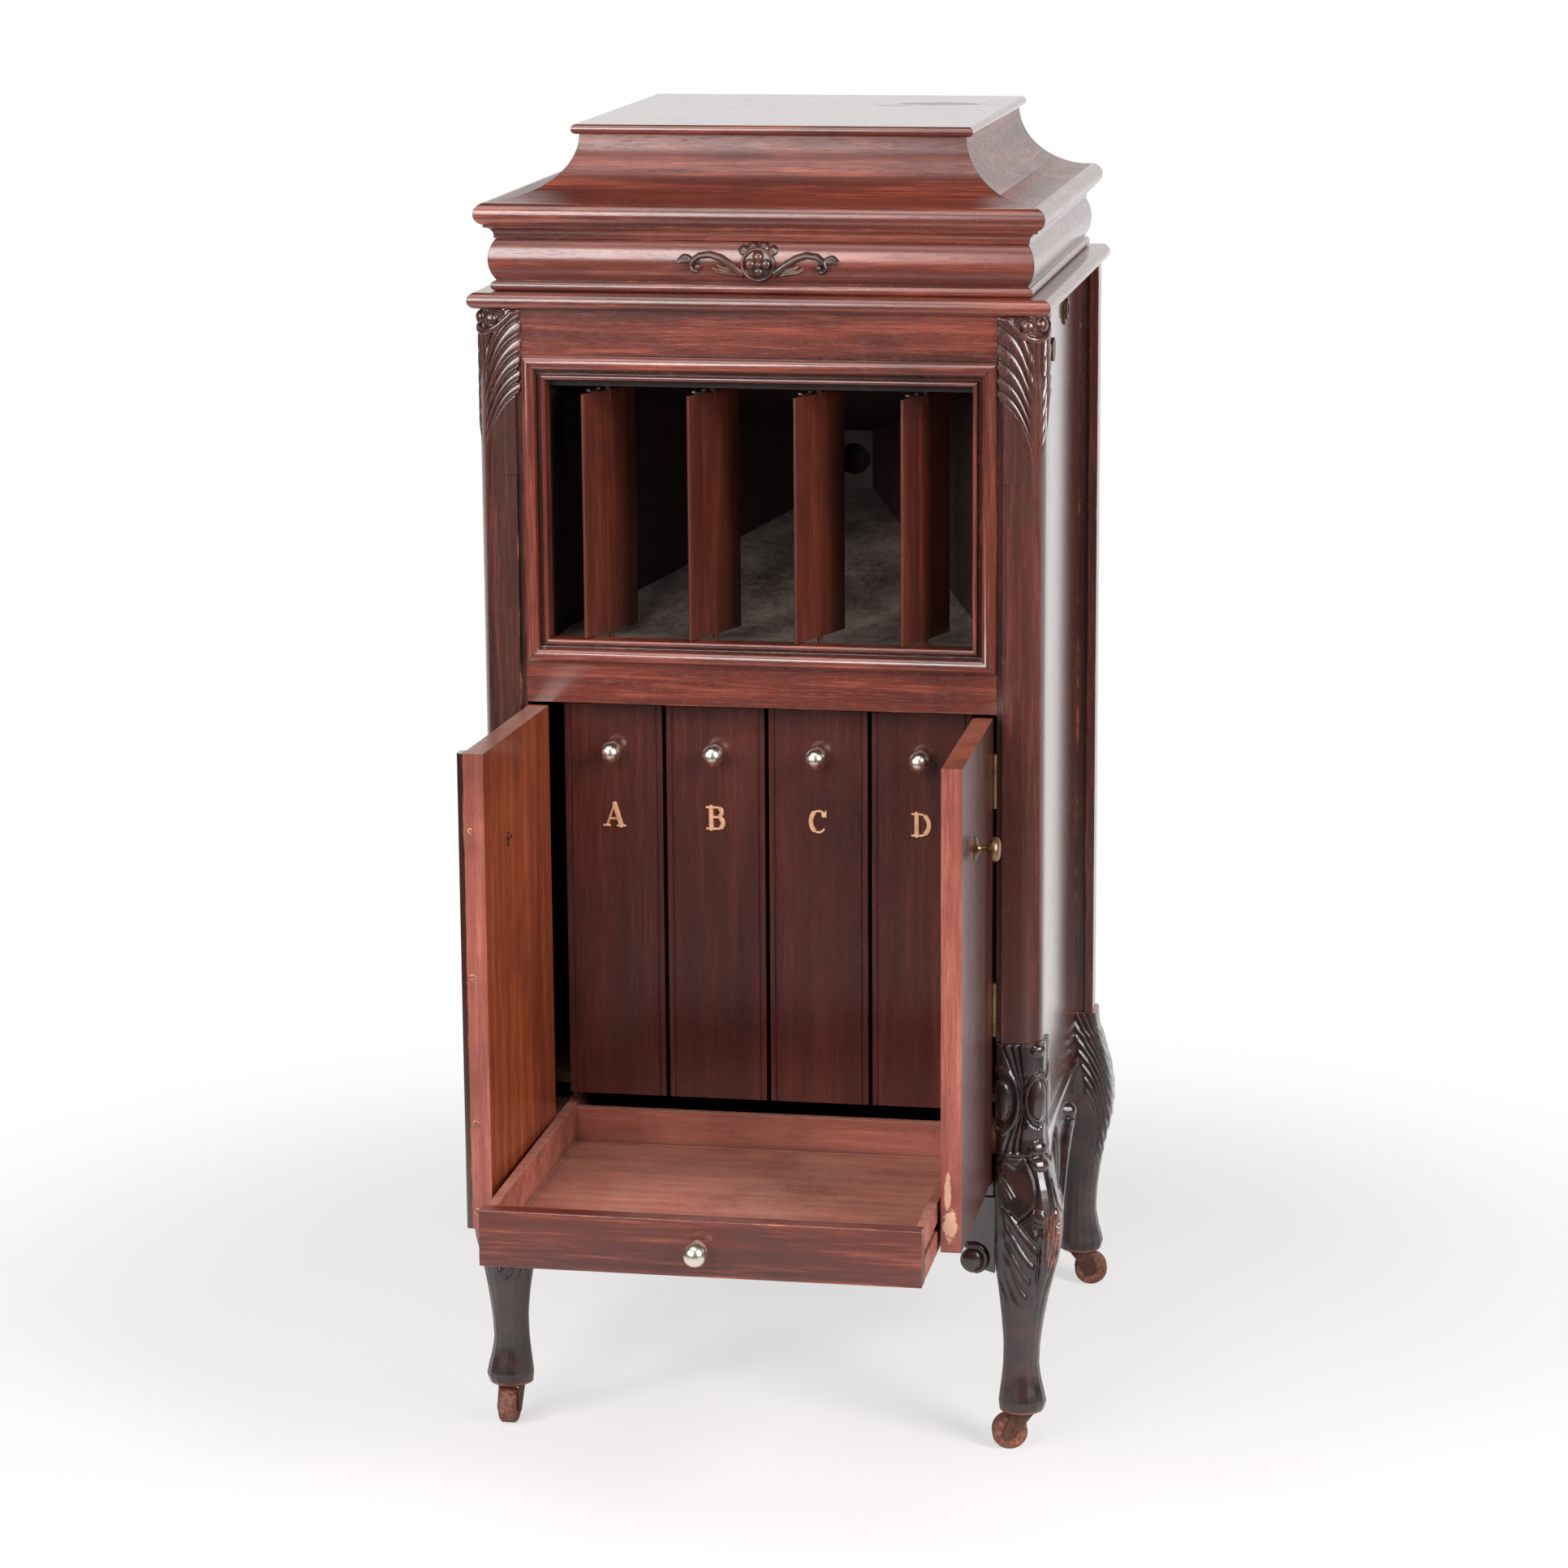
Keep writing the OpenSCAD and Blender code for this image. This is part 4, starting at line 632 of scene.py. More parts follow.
def carved_wood(name, deep, tone, bare, rub_from, rub_to):
    """Ridges turn to bare wood between rub_from and rub_to of Pointiness. The outer sides of the front knees
    stand out furthest, so they are rubbed most, and the joint above the block stays dark."""
    f = Finish(name)
    place = f.place()
    x, y, z = f.parts(place)
    at_knee = 1 - (abs(z - KNEE_Z * MM) - KNEE_HALF * MM).ramp(0.0, 0.012)
    knee_side = at_knee * abs(x).ramp(0.263, 0.270) * (y < 0.0)
    cloud = f.noise(place, 45, 4, 0.6)
    fine = f.noise(along_grain(f, 2), 700, 3, 0.65)
    sharp = f.add("ShaderNodeNewGeometry", out="Pointiness")
    wood = f.blend(cloud.ramp(0.35, 0.7), deep, tone)
    handled = sharp + (fine - 0.5) * 0.03 + (cloud - 0.5) * 0.05 + knee_side * (fine - 0.40) * 0.5
    rub = handled.ramp(rub_from, rub_to)
    wood = f.blend(rub * (abs(z - BLOCK_TOP * MM).ramp(0.001, 0.004) * 0.8), wood, bare)
    # Painted shade: the hollows, where Pointiness is low, go nearly black.
    wood = f.blend((0.5 - sharp).ramp(0.0, 0.06) * 0.6, wood, colour(0.006, 0.004, 0.004))
    return f.shade(Base_Color=wood, Roughness=CARVED_POLISH + cloud * 0.14 + fine * 0.06, IOR=SHELLAC_IOR,
                   Coat_Weight=0.75, Coat_Roughness=CARVED_POLISH * 0.6,
                   Normal=f.bump(fine * 0.5 + cloud, 0.12, 0.0008))


carved_dark = carved_wood("carved_blackened", dark_family["deep"], dark_family["tone"],
                          colour(0.30, 0.075, 0.025), 0.545, 0.60)
carved_head = mahogany("carved_post_head", 2, **post_family, coat=0.7, polish=0.26, carved=0.9)
carved_crest = carved_wood("carved_crest", colour(0.02, 0.008, 0.006), colour(0.09, 0.025, 0.016),
                           colour(0.42, 0.14, 0.06), 0.525, 0.575)
print("mixed the carved finishes")

# %% [markdown]
# ## Ornament on the rim
# A rose in a ring, with a crown of lobes over it. From its foot two arms arch out and wind in to a ball. A
# bud stands where each arm turns down, and a leaf lies below it. Modelled by hand, each lobe would be a
# lump of its own. As heights they are a line or two each, and the second half comes by itself.

# %% Rose and arms
CREST_Z = 1098.0
BULGE_LOW, BULGE_HIGH, BULGE_OUT = 1080.5, 1118.0, 6.4
RIM_HALF = 248.4
RIM_FRONT = CASE_MIDDLE - (RIM_HALF - BULGE_OUT)
RING = 14.3


def rim_ground(x, z):
    """The bulged moulding. Its section is an arc that stands out by BULGE_OUT at its middle."""
    half = (BULGE_HIGH - BULGE_LOW) / 2
    radius = (half * half + BULGE_OUT * BULGE_OUT) / (2 * BULGE_OUT)
    up = np.clip(z - (BULGE_LOW + BULGE_HIGH) / 2, -half, half)
    return RIM_FRONT - (np.sqrt(radius * radius - up * up) - (radius - BULGE_OUT))


def crest_height(x, z):
    """The two halves mirror each other, so all is measured from the middle: a across and up above CREST_Z."""
    a = np.abs(x)
    up = z - CREST_Z
    from_middle = np.hypot(a, up)
    h = np.where(from_middle < 14.2, 0.6, -1.0)
    from_ring = from_middle - RING
    h = np.maximum(h, 4.6 * dome(from_ring / 1.7) - 0.1 * (np.abs(from_ring) > 1.7))
    for px, pz, rx, rz in ((0, 7.2, 4.9, 4.6), (7.4, 0.2, 4.6, 4.9), (0, -7.2, 4.9, 4.6)):
        d = np.hypot((a - px) / rx, (up - pz) / rz)
        h = np.maximum(h, 0.6 + 4.0 * dome(d) - 1.6 * (d > 1))
    h = np.maximum(h, 0.6 + 4.6 * dome(from_middle / 3.6) - 1.6 * (from_middle > 3.6))
    for px, pz, r in ((5.0, 15.6, 4.9), (13.4, 12.6, 4.6)):
        d = np.hypot(a - px, up - pz) / r
        lobe = 3.8 * dome(d) - 0.9 * dome(d * 2.2) - 0.3 * (d > 1)
        h = np.maximum(h, np.where(from_middle > 15.0, lobe, -1))
    arm = [(15.5, -8.5), (20, -4.4), (25, -0.2), (34.4, 5.7), (43.9, 8.6), (53.3, 7.4), (59.6, 3.0),
           (61.6, -2.0), (59.6, -6.0), (56.2, -6.6)]
    d, along = far_from_path(a, up, arm)
    width = 4.0 - 1.9 * along
    h = np.maximum(h, 4.8 * dome(d / width) - 0.3 * (d > width))
    d = np.hypot(a - 55.0, up + 2.6) / 3.6
    h = np.maximum(h, 5.4 * dome(d) - 0.3 * (d > 1))
    d, along = far_from_path(a, up, [(60.5, 3.5), (67, 4.6), (74.5, 1.6)])
    width = 0.4 + 4.0 * np.sin(np.pi * np.clip(along * 0.85 + 0.15, 0, 1)) ** 0.8
    h = np.maximum(h, 3.4 * dome(d / width) - 0.3 * (d > width) - 0.8 * dome(d / 0.8) * (along > 0.2))
    for leaf in ([(15, -10), (26, -7.6), (35, -6.6), (41.5, -3.6)],
                 [(20, -7.6), (27, -4.8), (33, -3.2), (37, -0.6)]):
        d, along = far_from_path(a, up, leaf)
        width = 0.5 + 2.1 * np.sin(np.pi * along) ** 0.6
        h = np.maximum(h, 3.4 * dome(d / width) - 0.3 * (d > width) - 0.7 * dome(d / 0.6))
    return h


crest = relief("crest_carved", "cabinet", carved_crest, (-78, 78, 1078.5, 1117.9), 0.33,
               crest_height, rim_ground)
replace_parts(crest, "crest_carving")
print("carved the ornament:", len(crest.data.vertices), "points")

# %% [markdown]
# ## Leaves at the head of the front posts
# The leaf starts at the inner edge of the post in rounded ends, and its flutes sweep down and out to the
# rounded corner, where they run together. The side of the post mirrors the front. Below the leaf the sunk
# strips begin. Two small balls with a band under them finish the top. A bevelled board is too coarse to
# carve, so the post is cut off below the leaf, and a fine skin with the carving on it takes its place.

# %% Round the post
HEAD_FOOT = 905.0
SLAB_UNDER = 1056.0
POST_IN, POST_OUT, POST_ROUND = 217.3, 259.3, 20.0
FRONT_Y, INNER_Y = -237.3, -195.3
STRIP_WIDE, STRIP_DEEP = 5, 4.0
TURN_IN_X, TURN_IN_Y = 243.0, -222.0  # where the head's skin ends, hidden behind the post's edges


def post_path():
    """Round the post's outer faces: x and y, the direction outward, and the distance from the inner front
    edge. The skin turns in at both ends, just below the floor of the sunk strips."""
    flat = POST_OUT - POST_ROUND - POST_IN
    arc_length = POST_ROUND * math.pi / 2
    length = 2 * flat + arc_length
    below_strip = STRIP_DEEP + 0.2
    path = [(POST_IN, TURN_IN_Y, 0, 0, -1.0), (POST_IN, FRONT_Y + below_strip, 0, 0, -0.5)]
    for s in np.linspace(0, length, 170):
        if s < flat:
            path.append((POST_IN + s, FRONT_Y, 0, -1, s))
        elif s < flat + arc_length:
            turn = (s - flat) / POST_ROUND - math.pi / 2
            out_x, out_y = math.cos(turn), math.sin(turn)
            path.append((POST_OUT - POST_ROUND + POST_ROUND * out_x,
                         FRONT_Y + POST_ROUND + POST_ROUND * out_y, out_x, out_y, s))
        else:
            path.append((POST_OUT, FRONT_Y + POST_ROUND + s - flat - arc_length, 1, 0, s))
    path += [(x, INNER_Y, 0, 0, length + 1) for x in (POST_OUT - below_strip, TURN_IN_X)]
    return *np.array(path).T, length


x, y, out_x, out_y, along, length = post_path()
print("the post measures", round(length, 1), "mm round its outer faces")

# %% Heights of the leaf
LEAF_FOOT = 981


def feathers(vein, edges, low, high):
    """Overlapping rolls between the edges, from low in the cuts to high on the crowns, each with a fine line
    below its crown. Also says how full the roll is, from 0 at a cut to 1, and where there is any."""
    depth, full, there = np.zeros(vein.shape), np.zeros(vein.shape), np.zeros(vein.shape, bool)
    for start, stop in zip(edges, edges[1:]):
        f = (vein - start) / (stop - start)
        inside = (f >= 0) & (f < 1)
        crown = np.sin(np.pi * np.clip(f, 0, 1) ** 0.85) ** 0.7
        roll = low + (high - low) * crown - 0.9 * dome((f - 0.27) / 0.075)
        depth = np.where(inside, roll, depth)
        full = np.where(inside, np.sin(np.pi * np.clip(f, 0, 1)), full)
        there |= inside
    return depth, full, there


def leaf_height(s, z, length):
    """s is the distance round the post and u that from the nearer of its two edges, so that front and side
    get the same leaf. The rolls follow the lines along which vein stays the same."""
    u = np.minimum(s, length - s)
    vein = z + 0.55 * u + 0.0009 * u ** 3
    edges = [LEAF_FOOT, 992, 1003.5, 1017, 1032, 1048, 1066, 1086, 1110]
    depth, full, there = feathers(vein, edges, -1.9, 1.3)
    fade = 1 - smooth(27, 35, u)
    leaf = np.where(there, depth * fade, 0)
    leaf = np.where((u < 4.2 * (1 - full ** 0.5)) & there, -3.4, leaf)
    reeds = 1.1 * np.cos((u - 37.7) * 1.1) * smooth(28, 33, u) * smooth(985, 1012, z)
    leaf = leaf + reeds
    leaf = np.where((u < STRIP_WIDE) & (vein < LEAF_FOOT), -STRIP_DEEP, leaf)
    hood, _ = far_from_path(s, z, [(6, 1054), (13, 1047), (20, 1041), (28, 1036.5), (37, 1034.5), (46, 1036),
                                   (55, 1040), (62, 1047)])
    above_hood = (z > 1036) & (u > 14) & (z > np.interp(u, [14, 20, 28, 37], [1047, 1041, 1036.5, 1034.5]))
    leaf = np.where(above_hood, -1.8, leaf)
    leaf = np.where(hood < 2.6, np.maximum(leaf, 2.2 * dome(hood / 2.6) + 0.2), leaf)
    for bs, bz, br in ((27.5, 1046.5, 6.4), (44, 1047.5, 6.4)):
        leaf = raised(leaf, np.hypot(s - bs, z - bz) / br, 4.2, 1.2)
    d, _ = far_from_path(s, z, [(21.5, 1043.5), (26, 1042.2), (31, 1043), (34, 1046)])
    leaf = leaf - 1.3 * dome(d)
    top = smooth(SLAB_UNDER - 3, SLAB_UNDER, z)
    blend = smooth(HEAD_FOOT, HEAD_FOOT + 3, z)
    at_foot = np.where(u < STRIP_WIDE, -STRIP_DEEP, 0.0)
    return at_foot * (1 - blend) + (leaf * (1 - top)) * blend


levels = np.arange(HEAD_FOOT, SLAB_UNDER + 0.01, 0.6)
s, z = np.meshgrid(along, levels)
h = np.where((s < 0) | (s > length), 0, leaf_height(np.clip(s, 0, length), z, length))
print("the carving runs from", h.min().round(1), "to", h.max().round(1), "mm")

# %% Post heads
def cut_above(obj, height):
    """Cuts a piece off level at a height and closes the cut."""
    work = bmesh.new()
    work.from_mesh(obj.data)
    cut = bmesh.ops.bisect_plane(work, geom=work.verts[:] + work.edges[:] + work.faces[:], dist=1e-6,
                                 plane_co=(0, 0, height), plane_no=(0, 0, 1), clear_outer=True)
    bmesh.ops.holes_fill(work, edges=[e for e in cut["geom_cut"] if isinstance(e, bmesh.types.BMEdge)])
    work.to_mesh(obj.data)
    work.free()
    flats_stay_flat(obj)


cut_above(bpy.data.objects["front_posts_finished"], (HEAD_FOOT + 0.3) * MM)
head = np.stack([x + h * out_x, y + h * out_y, z], axis=-1)
for side, name in ((1, "right_post_leaf"), (-1, "left_post_leaf")):
    points = head * np.array([side, 1, 1])
    skin = grid_mesh(name, points if side > 0 else points[:, ::-1])
    add_piece(name, skin, "cabinet", [carved_head])
print("carved both post heads,", head.shape[0] * head.shape[1], "points each")

# %% [markdown]
# ## Carved legs
# The front legs carry a block with two ovals, a pinched waist between them with flutes that fan out, and
# under it the knee: a tongue falls over the corner and curls up at its end, and flutes sweep down to it
# from both sides. The rear legs have a single leaf. Each leg is measured on the solid by rays towards its
# middle, and the carving moves the points along those rays.

# %% Shape of a leg
# Height, how far the leg swells past the post, and how far its inner faces draw in.
LEG_SHAPE = [(38, 5, 5.5), (48, 8, 4.5), (62, 4, 6.5), (80, 0.5, 8.5), (104, 1.5, 9), (130, 5, 7),
             (155, 10, 4), (185, 17.5, 0), (208, 19.5, 0), (229, 18, 0), (250, 14, 0), (262, 10.5, 0),
             (271, 8, 0), (276, 8, 0), (281, 5, 0), (295, 3.2, 0), (420, 3.2, 0)]
FOOT_OUT, BEND_TOP, BEND_LONG = 18.0, 235, 130  # how far the foot runs outward, and over which height
WIDEST = 278.7


def leg_box(z):
    """Inner and outer x, outer and inner distance in y of a leg's section at height z."""
    t = np.clip((BEND_TOP - z) / BEND_LONG, 0, 1)
    shift = FOOT_OUT * t * t * (3 - 2 * t)
    heights, outs, ins = zip(*LEG_SHAPE)
    swell, draw = np.interp(z, heights, outs), np.interp(z, heights, ins)
    return POST_IN + draw, POST_OUT + swell, -FRONT_Y + swell + shift, -INNER_Y + draw + shift


print("the knee is widest at z", max(LEG_SHAPE, key=lambda section: section[1])[0], "mm")

# %% Heights on the block and the knee
BLOCK_FOOT, BLOCK_MIDDLE = 283, 335


def block_height(a, z):
    """Carving of the block above the knee; a is the distance from the corner."""
    open_up = np.clip((np.abs(z - BLOCK_MIDDLE) - 10) / 40, 0, 1)
    right, left = 16.5 + 3.5 * open_up, 22.5 + 20 * open_up
    fan = (a - right) / (left - right)
    cuts = -2.8 + 2.6 * np.abs(np.cos(np.pi * 3 * np.clip(fan, 0, 1))) ** 0.8
    h = np.where((fan > 0) & (fan < 1), cuts, -0.3)
    h = h - 2.2 * dome((a - 19.5) / 5.0) * dome((z - BLOCK_MIDDLE) / 26)
    inner = np.hypot((a - 41) / 17.5, (z - 334) / 30)
    hollow = -0.6 - 2.6 * np.sin(np.pi * np.clip(inner, 0, 1)) ** 0.8
    h = np.where(inner < 0.94, hollow, h)
    h = np.where(np.abs(inner - 1) < 0.10, np.maximum(h, 1.2 * dome((inner - 1) / 0.10)), h)
    h = raised(h, np.hypot((a - 41) / 9.5, (z - 334) / 19), 2.6, 1.0)
    corner = np.hypot(a / 14.0, (z - 336) / 21)
    h = np.where(corner < 1.4, np.minimum(h, -2.0), h)
    h = np.where(np.abs(corner - 1.16) < 0.13, 2.4 * dome((corner - 1.16) / 0.13) - 0.6, h)
    h = raised(h, corner, 6.6, 1.6)
    for bz, ra, rz, high in ((383, 12, 5.5, 3.4), (289, 14, 8, 4.4)):
        h = raised(h, np.hypot(a / ra, (z - bz) / rz), high)
    return h


def knee_height(a, z):
    """Carving of the knee, cut into it from its full shape: a leaf with a scalloped lower edge, a tongue over
    the corner that curls up at its end, and flutes that sweep down to it from the inner side."""
    h = np.zeros(a.shape)
    foot = np.interp(a, [0, 15, 18, 26, 36, 45, 54], [250, 246, 240, 232, 225, 234, 239])
    vein = z + 2.0 * (55 - a) - 0.016 * (55 - a) ** 2
    rolls, _, there = feathers(vein, [178, 192, 206, 220, 236, 254], -3.0, -0.2)
    below = (z < foot) & (a > 17.5) & there
    h = np.where(below, rolls * smooth(138, 160, z) * smooth(17.5, 20, a), h)
    h = np.where((np.abs(z - foot + 1.2) < 1.6) & (a > 19), -3.2, h)
    for k in range(3):
        d, _ = far_from_path(a, z, [(50 - 3.6 * k, 262 + 2 * k), (42 - 3.4 * k, 243 + 2.2 * k)])
        h = h - 2.2 * dome(d / 1.1)
    edge = np.interp(z, [120, 150, 180, 205, 222, 235, 250, 262, 272, 282],
                     [8, 10, 13, 16, 19, 17, 13.5, 12, 14, 16])
    h = np.where(a < edge, h + 0.8 * dome(a / edge) - 0.8, h)
    h = h - 2.6 * dome((a - edge - 1.4) / 2.0) * smooth(150, 175, z)
    h = raised(h, np.hypot((a - 15.5) / 5.0, (z - 229) / 6.0), 1.8)
    pit = np.hypot((a - 16) / 4.0, (z - 218) / 5.0)
    h = np.where(pit < 1, h - 3.0 * dome(pit), h)
    h = raised(h, np.hypot(a - 45, z - 236) / 3.4, 1.2)
    for a0, z0, a1, z1 in ((15.5, 212, 10.5, 158), (11.0, 222, 8.0, 176)):
        d, along = far_from_path(a, z, [(a0, z0), ((a0 + a1) / 2 + 1.2, (z0 + z1) / 2), (a1, z1)])
        h = h - 1.9 * dome(d / 1.3) * np.sin(np.pi * np.clip(along, 0.02, 0.98)) ** 0.4
    collar = np.hypot(a / 16, (z - 275.5) / 5.5)
    h = raised(h, collar, 3.0)
    wave = 276 + 2.5 * np.cos((a - 20) * 0.3)
    h = h - 2.2 * dome((z - wave) / 2.2) * (collar > 1)
    return h * (1 - smooth(281, 283, z)) * smooth(118, 140, z) - 2.0 * dome((z - 282) / 2.2)


def front_leg_height(a, z):
    block = block_height(a, z) * smooth(BLOCK_FOOT, BLOCK_FOOT + 3, z)
    carved = np.where(z > BLOCK_FOOT, block, knee_height(a, z))
    return carved * (1 - smooth(46, 51, a)) * (1 - smooth(BLOCK_TOP - 1, BLOCK_TOP + 0.5, z))


print("the block stands from z", BLOCK_FOOT, "to", BLOCK_TOP, "mm")

# %% Heights of the rear leaf
CORNER, LEAF_EDGE = 60, 86.0


def rear_leg_height(a, z):
    """A leaf with a toothed inner edge, whose rolls sweep down and out, and on round the side to the rear
    corner. a is measured round the leg: CORNER where the face towards the front meets the side."""
    u = LEAF_EDGE - a
    vein = z + np.interp(u, [0, 8, 16, 26, 45, 86], [0, 14, 38, 74, 98, 116])
    edges = [212, 225, 238, 252, 267, 283, 300, 318, 338, 360, 384, 410]
    rolls, full, there = feathers(vein, edges, -2.7, 0.3)
    tooth = LEAF_EDGE - 5.0 * (1 - full ** 0.5)
    ground = -1.0 * (1 - smooth(LEAF_EDGE, LEAF_EDGE + 10, a)) * smooth(204, 222, z)
    rolls = rolls * (1 - 0.6 * smooth(22, 38, u))
    h = np.where(there & (a < tooth), rolls, ground)
    h = np.where(vein < edges[0], ground * (a > tooth), h)
    h = raised(h, np.hypot((a - 14) / 9, (z - 296) / 7), 3.2)
    return h * smooth(118, 150, z)


print("the leaf goes", LEAF_EDGE - CORNER, "mm round the corner")

# %% Carve the legs
RAY_FROM, UNCARVED = 90, 70
FINE_TURN, COARSE_TURN = 1.3, 7.0
FINE_ROW, COARSE_ROW = 1.15, 3.0


def leg_points(node, side, front, top, carving):
    """Points round one leg, in rows from the foot to the top. side is 1 on the right and -1 on the left,
    front is 1 before and -1 behind. Carved faces get fine steps, the hidden ones coarse steps."""
    solid = nodes[node].data
    tree = BVHTree.FromPolygons([v.co for v in solid.vertices], [p.vertices for p in solid.polygons])
    first = -150 if front > 0 else -75  # degrees: where the fine steps begin, before the carved faces
    fine = np.arange(first, first + 211, FINE_TURN)
    coarse = np.arange(first + 216, first + 356, COARSE_TURN)
    turns = np.radians(np.concatenate([fine, coarse]))
    levels = np.concatenate([np.arange(38.2, 140, COARSE_ROW), np.arange(141, top, FINE_ROW), [top - 0.05]])
    table = np.zeros((len(levels), len(turns), 3))
    for row, z in enumerate(levels):
        x0, x1, y0, y1 = leg_box(z)
        middle_x, middle_y = (x0 + x1) / 2, -(y0 + y1) / 2
        for column, turn in enumerate(turns):
            dx, dy = math.cos(turn), math.sin(turn)
            start = Vector((side * (middle_x + RAY_FROM * dx), front * (middle_y + RAY_FROM * dy), z)) * MM
            hit = tree.ray_cast(start, Vector((-side * dx, -front * dy, 0)))[0]
            px, py = (abs(hit.x) / MM, -abs(hit.y) / MM) if hit else (middle_x + 20 * dx, middle_y + 20 * dy)
            from_x, from_y = x1 - px, py + y0
            if front > 0:
                round_leg = min(max(from_x, from_y), UNCARVED)
            else:
                round_leg = from_x + from_y - (y0 - y1) + CORNER
            table[row, column] = (px, py, round_leg)
    away = np.maximum(table[:, :, 2], 0)
    height = carving(away, np.broadcast_to(levels[:, None], away.shape))
    x = np.minimum(table[:, :, 0] + height * np.cos(turns), WIDEST)
    y = table[:, :, 1] + height * np.sin(turns)
    points = np.stack([side * x, front * y, np.broadcast_to(levels[:, None], x.shape)], axis=-1)
    return points if side * front > 0 else points[:, ::-1]


def with_ends(points):
    """Closes the tube of a leg below and above with a row drawn in to the middle."""
    low, high = points[:1].copy(), points[-1:].copy()
    low[..., :2] = low[..., :2].mean(axis=1, keepdims=True)
    high[..., :2] = high[..., :2].mean(axis=1, keepdims=True)
    return np.concatenate([low, points, high])


for node, front, top, carving in (("front_legs", 1, BLOCK_TOP, front_leg_height),
                                  ("rear_legs", -1, 300.0, rear_leg_height)):
    for side, name in ((1, "right_"), (-1, "left_")):
        points = with_ends(leg_points(node, side, front, top, carving))
        leg = add_piece(name + node[:-1] + "_carved", grid_mesh(name + node, points, closed=True), "cabinet",
                        [carved_dark])
        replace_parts(leg, node)
        print(leg.name, len(leg.data.vertices), "points")

# %% [markdown]
# ## Small brass and nickel pieces
# Each bin has a cast letter of plain index type. A font would bring its own shapes, so the letters are cut
# from strokes: a stroke is every point near a line or an arc. Screws hold the meeting strip of the left
# door, and a small hook, bent from a flat strip, sits on top of each louvre.

# %% Letters
THIN, THICK = 1.15, 2.35


def stroke(x, z, path, half_width):
    return half_width - far_from_path(x, z, path)[0]


def thickest(*shapes):
    return np.maximum.reduce(shapes)


def stem(x, z):
    """The thick upright of a B or a D, with its serifs."""
    return thickest(stroke(x, z, [(-4.3, 1), (-4.3, 21.2)], THICK),
                    stroke(x, z, [(-8.4, 21.2), (-4, 21.2)], THIN), stroke(x, z, [(-8.4, 1), (-4, 1)], THIN))


def letter_a(x, z):
    return thickest(stroke(x, z, [(-7, 1), (0.2, 21.5)], THIN), stroke(x, z, [(0.4, 21.5), (6.6, 1)], THICK),
                    stroke(x, z, [(-4.4, 7.6), (4.6, 7.6)], THIN), stroke(x, z, [(-9.8, 1), (-4.4, 1)], THIN),
                    stroke(x, z, [(3.2, 1), (10, 1)], THIN))


def letter_b(x, z):
    upper = [(-4.5, 21.2), *curve((1.2, 16.6), (4.6, 4.6), 90, -90), (-4.5, 12)]
    lower = [(-4.5, 12), *curve((1.8, 6.4), (5.2, 5.5), 90, -90), (-4.5, 1)]
    return thickest(stem(x, z), stroke(x, z, upper, THIN), stroke(x, z, lower, THIN),
                    stroke(x, z, curve((1.2, 16.6), (4.4, 4.4), 45, -45), THICK * 0.9),
                    stroke(x, z, curve((1.8, 6.4), (5.0, 5.3), 45, -45), THICK))


def letter_c(x, z):
    return thickest(stroke(x, z, curve((0.5, 11), (7.2, 10.1), 48, 312, 40), THIN),
                    stroke(x, z, curve((0.5, 11), (7.2, 10.1), 130, 230, 24), THICK),
                    stroke(x, z, [(5.4, 18.2), (5.2, 17.2)], THICK),
                    stroke(x, z, [(7.4, 15.5), (7.4, 21)], 0.9))


def letter_d(x, z):
    bowl = [(-4.5, 21.2), (-1, 21.2), *curve((-1, 11.05), (8.4, 10.15), 90, -90), (-1, 1), (-4.5, 1)]
    return thickest(stem(x, z), stroke(x, z, bowl, THIN),
                    stroke(x, z, curve((-1, 11.05), (8.2, 10.0), 50, -50), THICK))


BIN_FRONT, LETTER_FOOT, LETTER_THICK = -203.0, 572.5, 1.8
letters = (("a", -144, letter_a), ("b", -48, letter_b), ("c", 48, letter_c), ("d", 144, letter_d))
for name, x0, shape in letters:
    def cast(x, z):
        inside = shape(x - x0, z - LETTER_FOOT)
        return np.where(inside > 0, LETTER_THICK * np.clip(inside / 0.6, 0, 1) ** 0.5, -0.5)
    relief("bin_%s_letter" % name, "bin_" + name, letter_brass,
           (x0 - 11.5, x0 + 11.5, LETTER_FOOT - 1.5, LETTER_FOOT + 24), 0.16, cast, flat_ground(BIN_FRONT))
print("cast", len(letters), "letters")

# %% Screws
DOOR_EDGE, SCREW_RADIUS = -453.3, 3.6
for number, (x0, z0) in enumerate(((-218.8, 622.8), (-219.4, 490.2), (-219.4, 355.6), (-219.4, 274.0))):
    def head(x, z):
        d = np.hypot(x - x0, z - z0) / SCREW_RADIUS
        turned = 0.7 + number
        slot = np.abs((x - x0) * math.cos(turned) + (z - z0) * math.sin(turned)) < 0.45
        return np.where(d < 1, 0.35 + 0.55 * dome(d) - 0.7 * slot, -0.3)
    relief("strip_screw_%d" % (number + 1), body_of_node["left_door"], copper_screw,
           (x0 - 4.2, x0 + 4.2, z0 - 4.2, z0 + 4.2), 0.2, head, flat_ground(DOOR_EDGE))
print("set", number + 1, "screws")

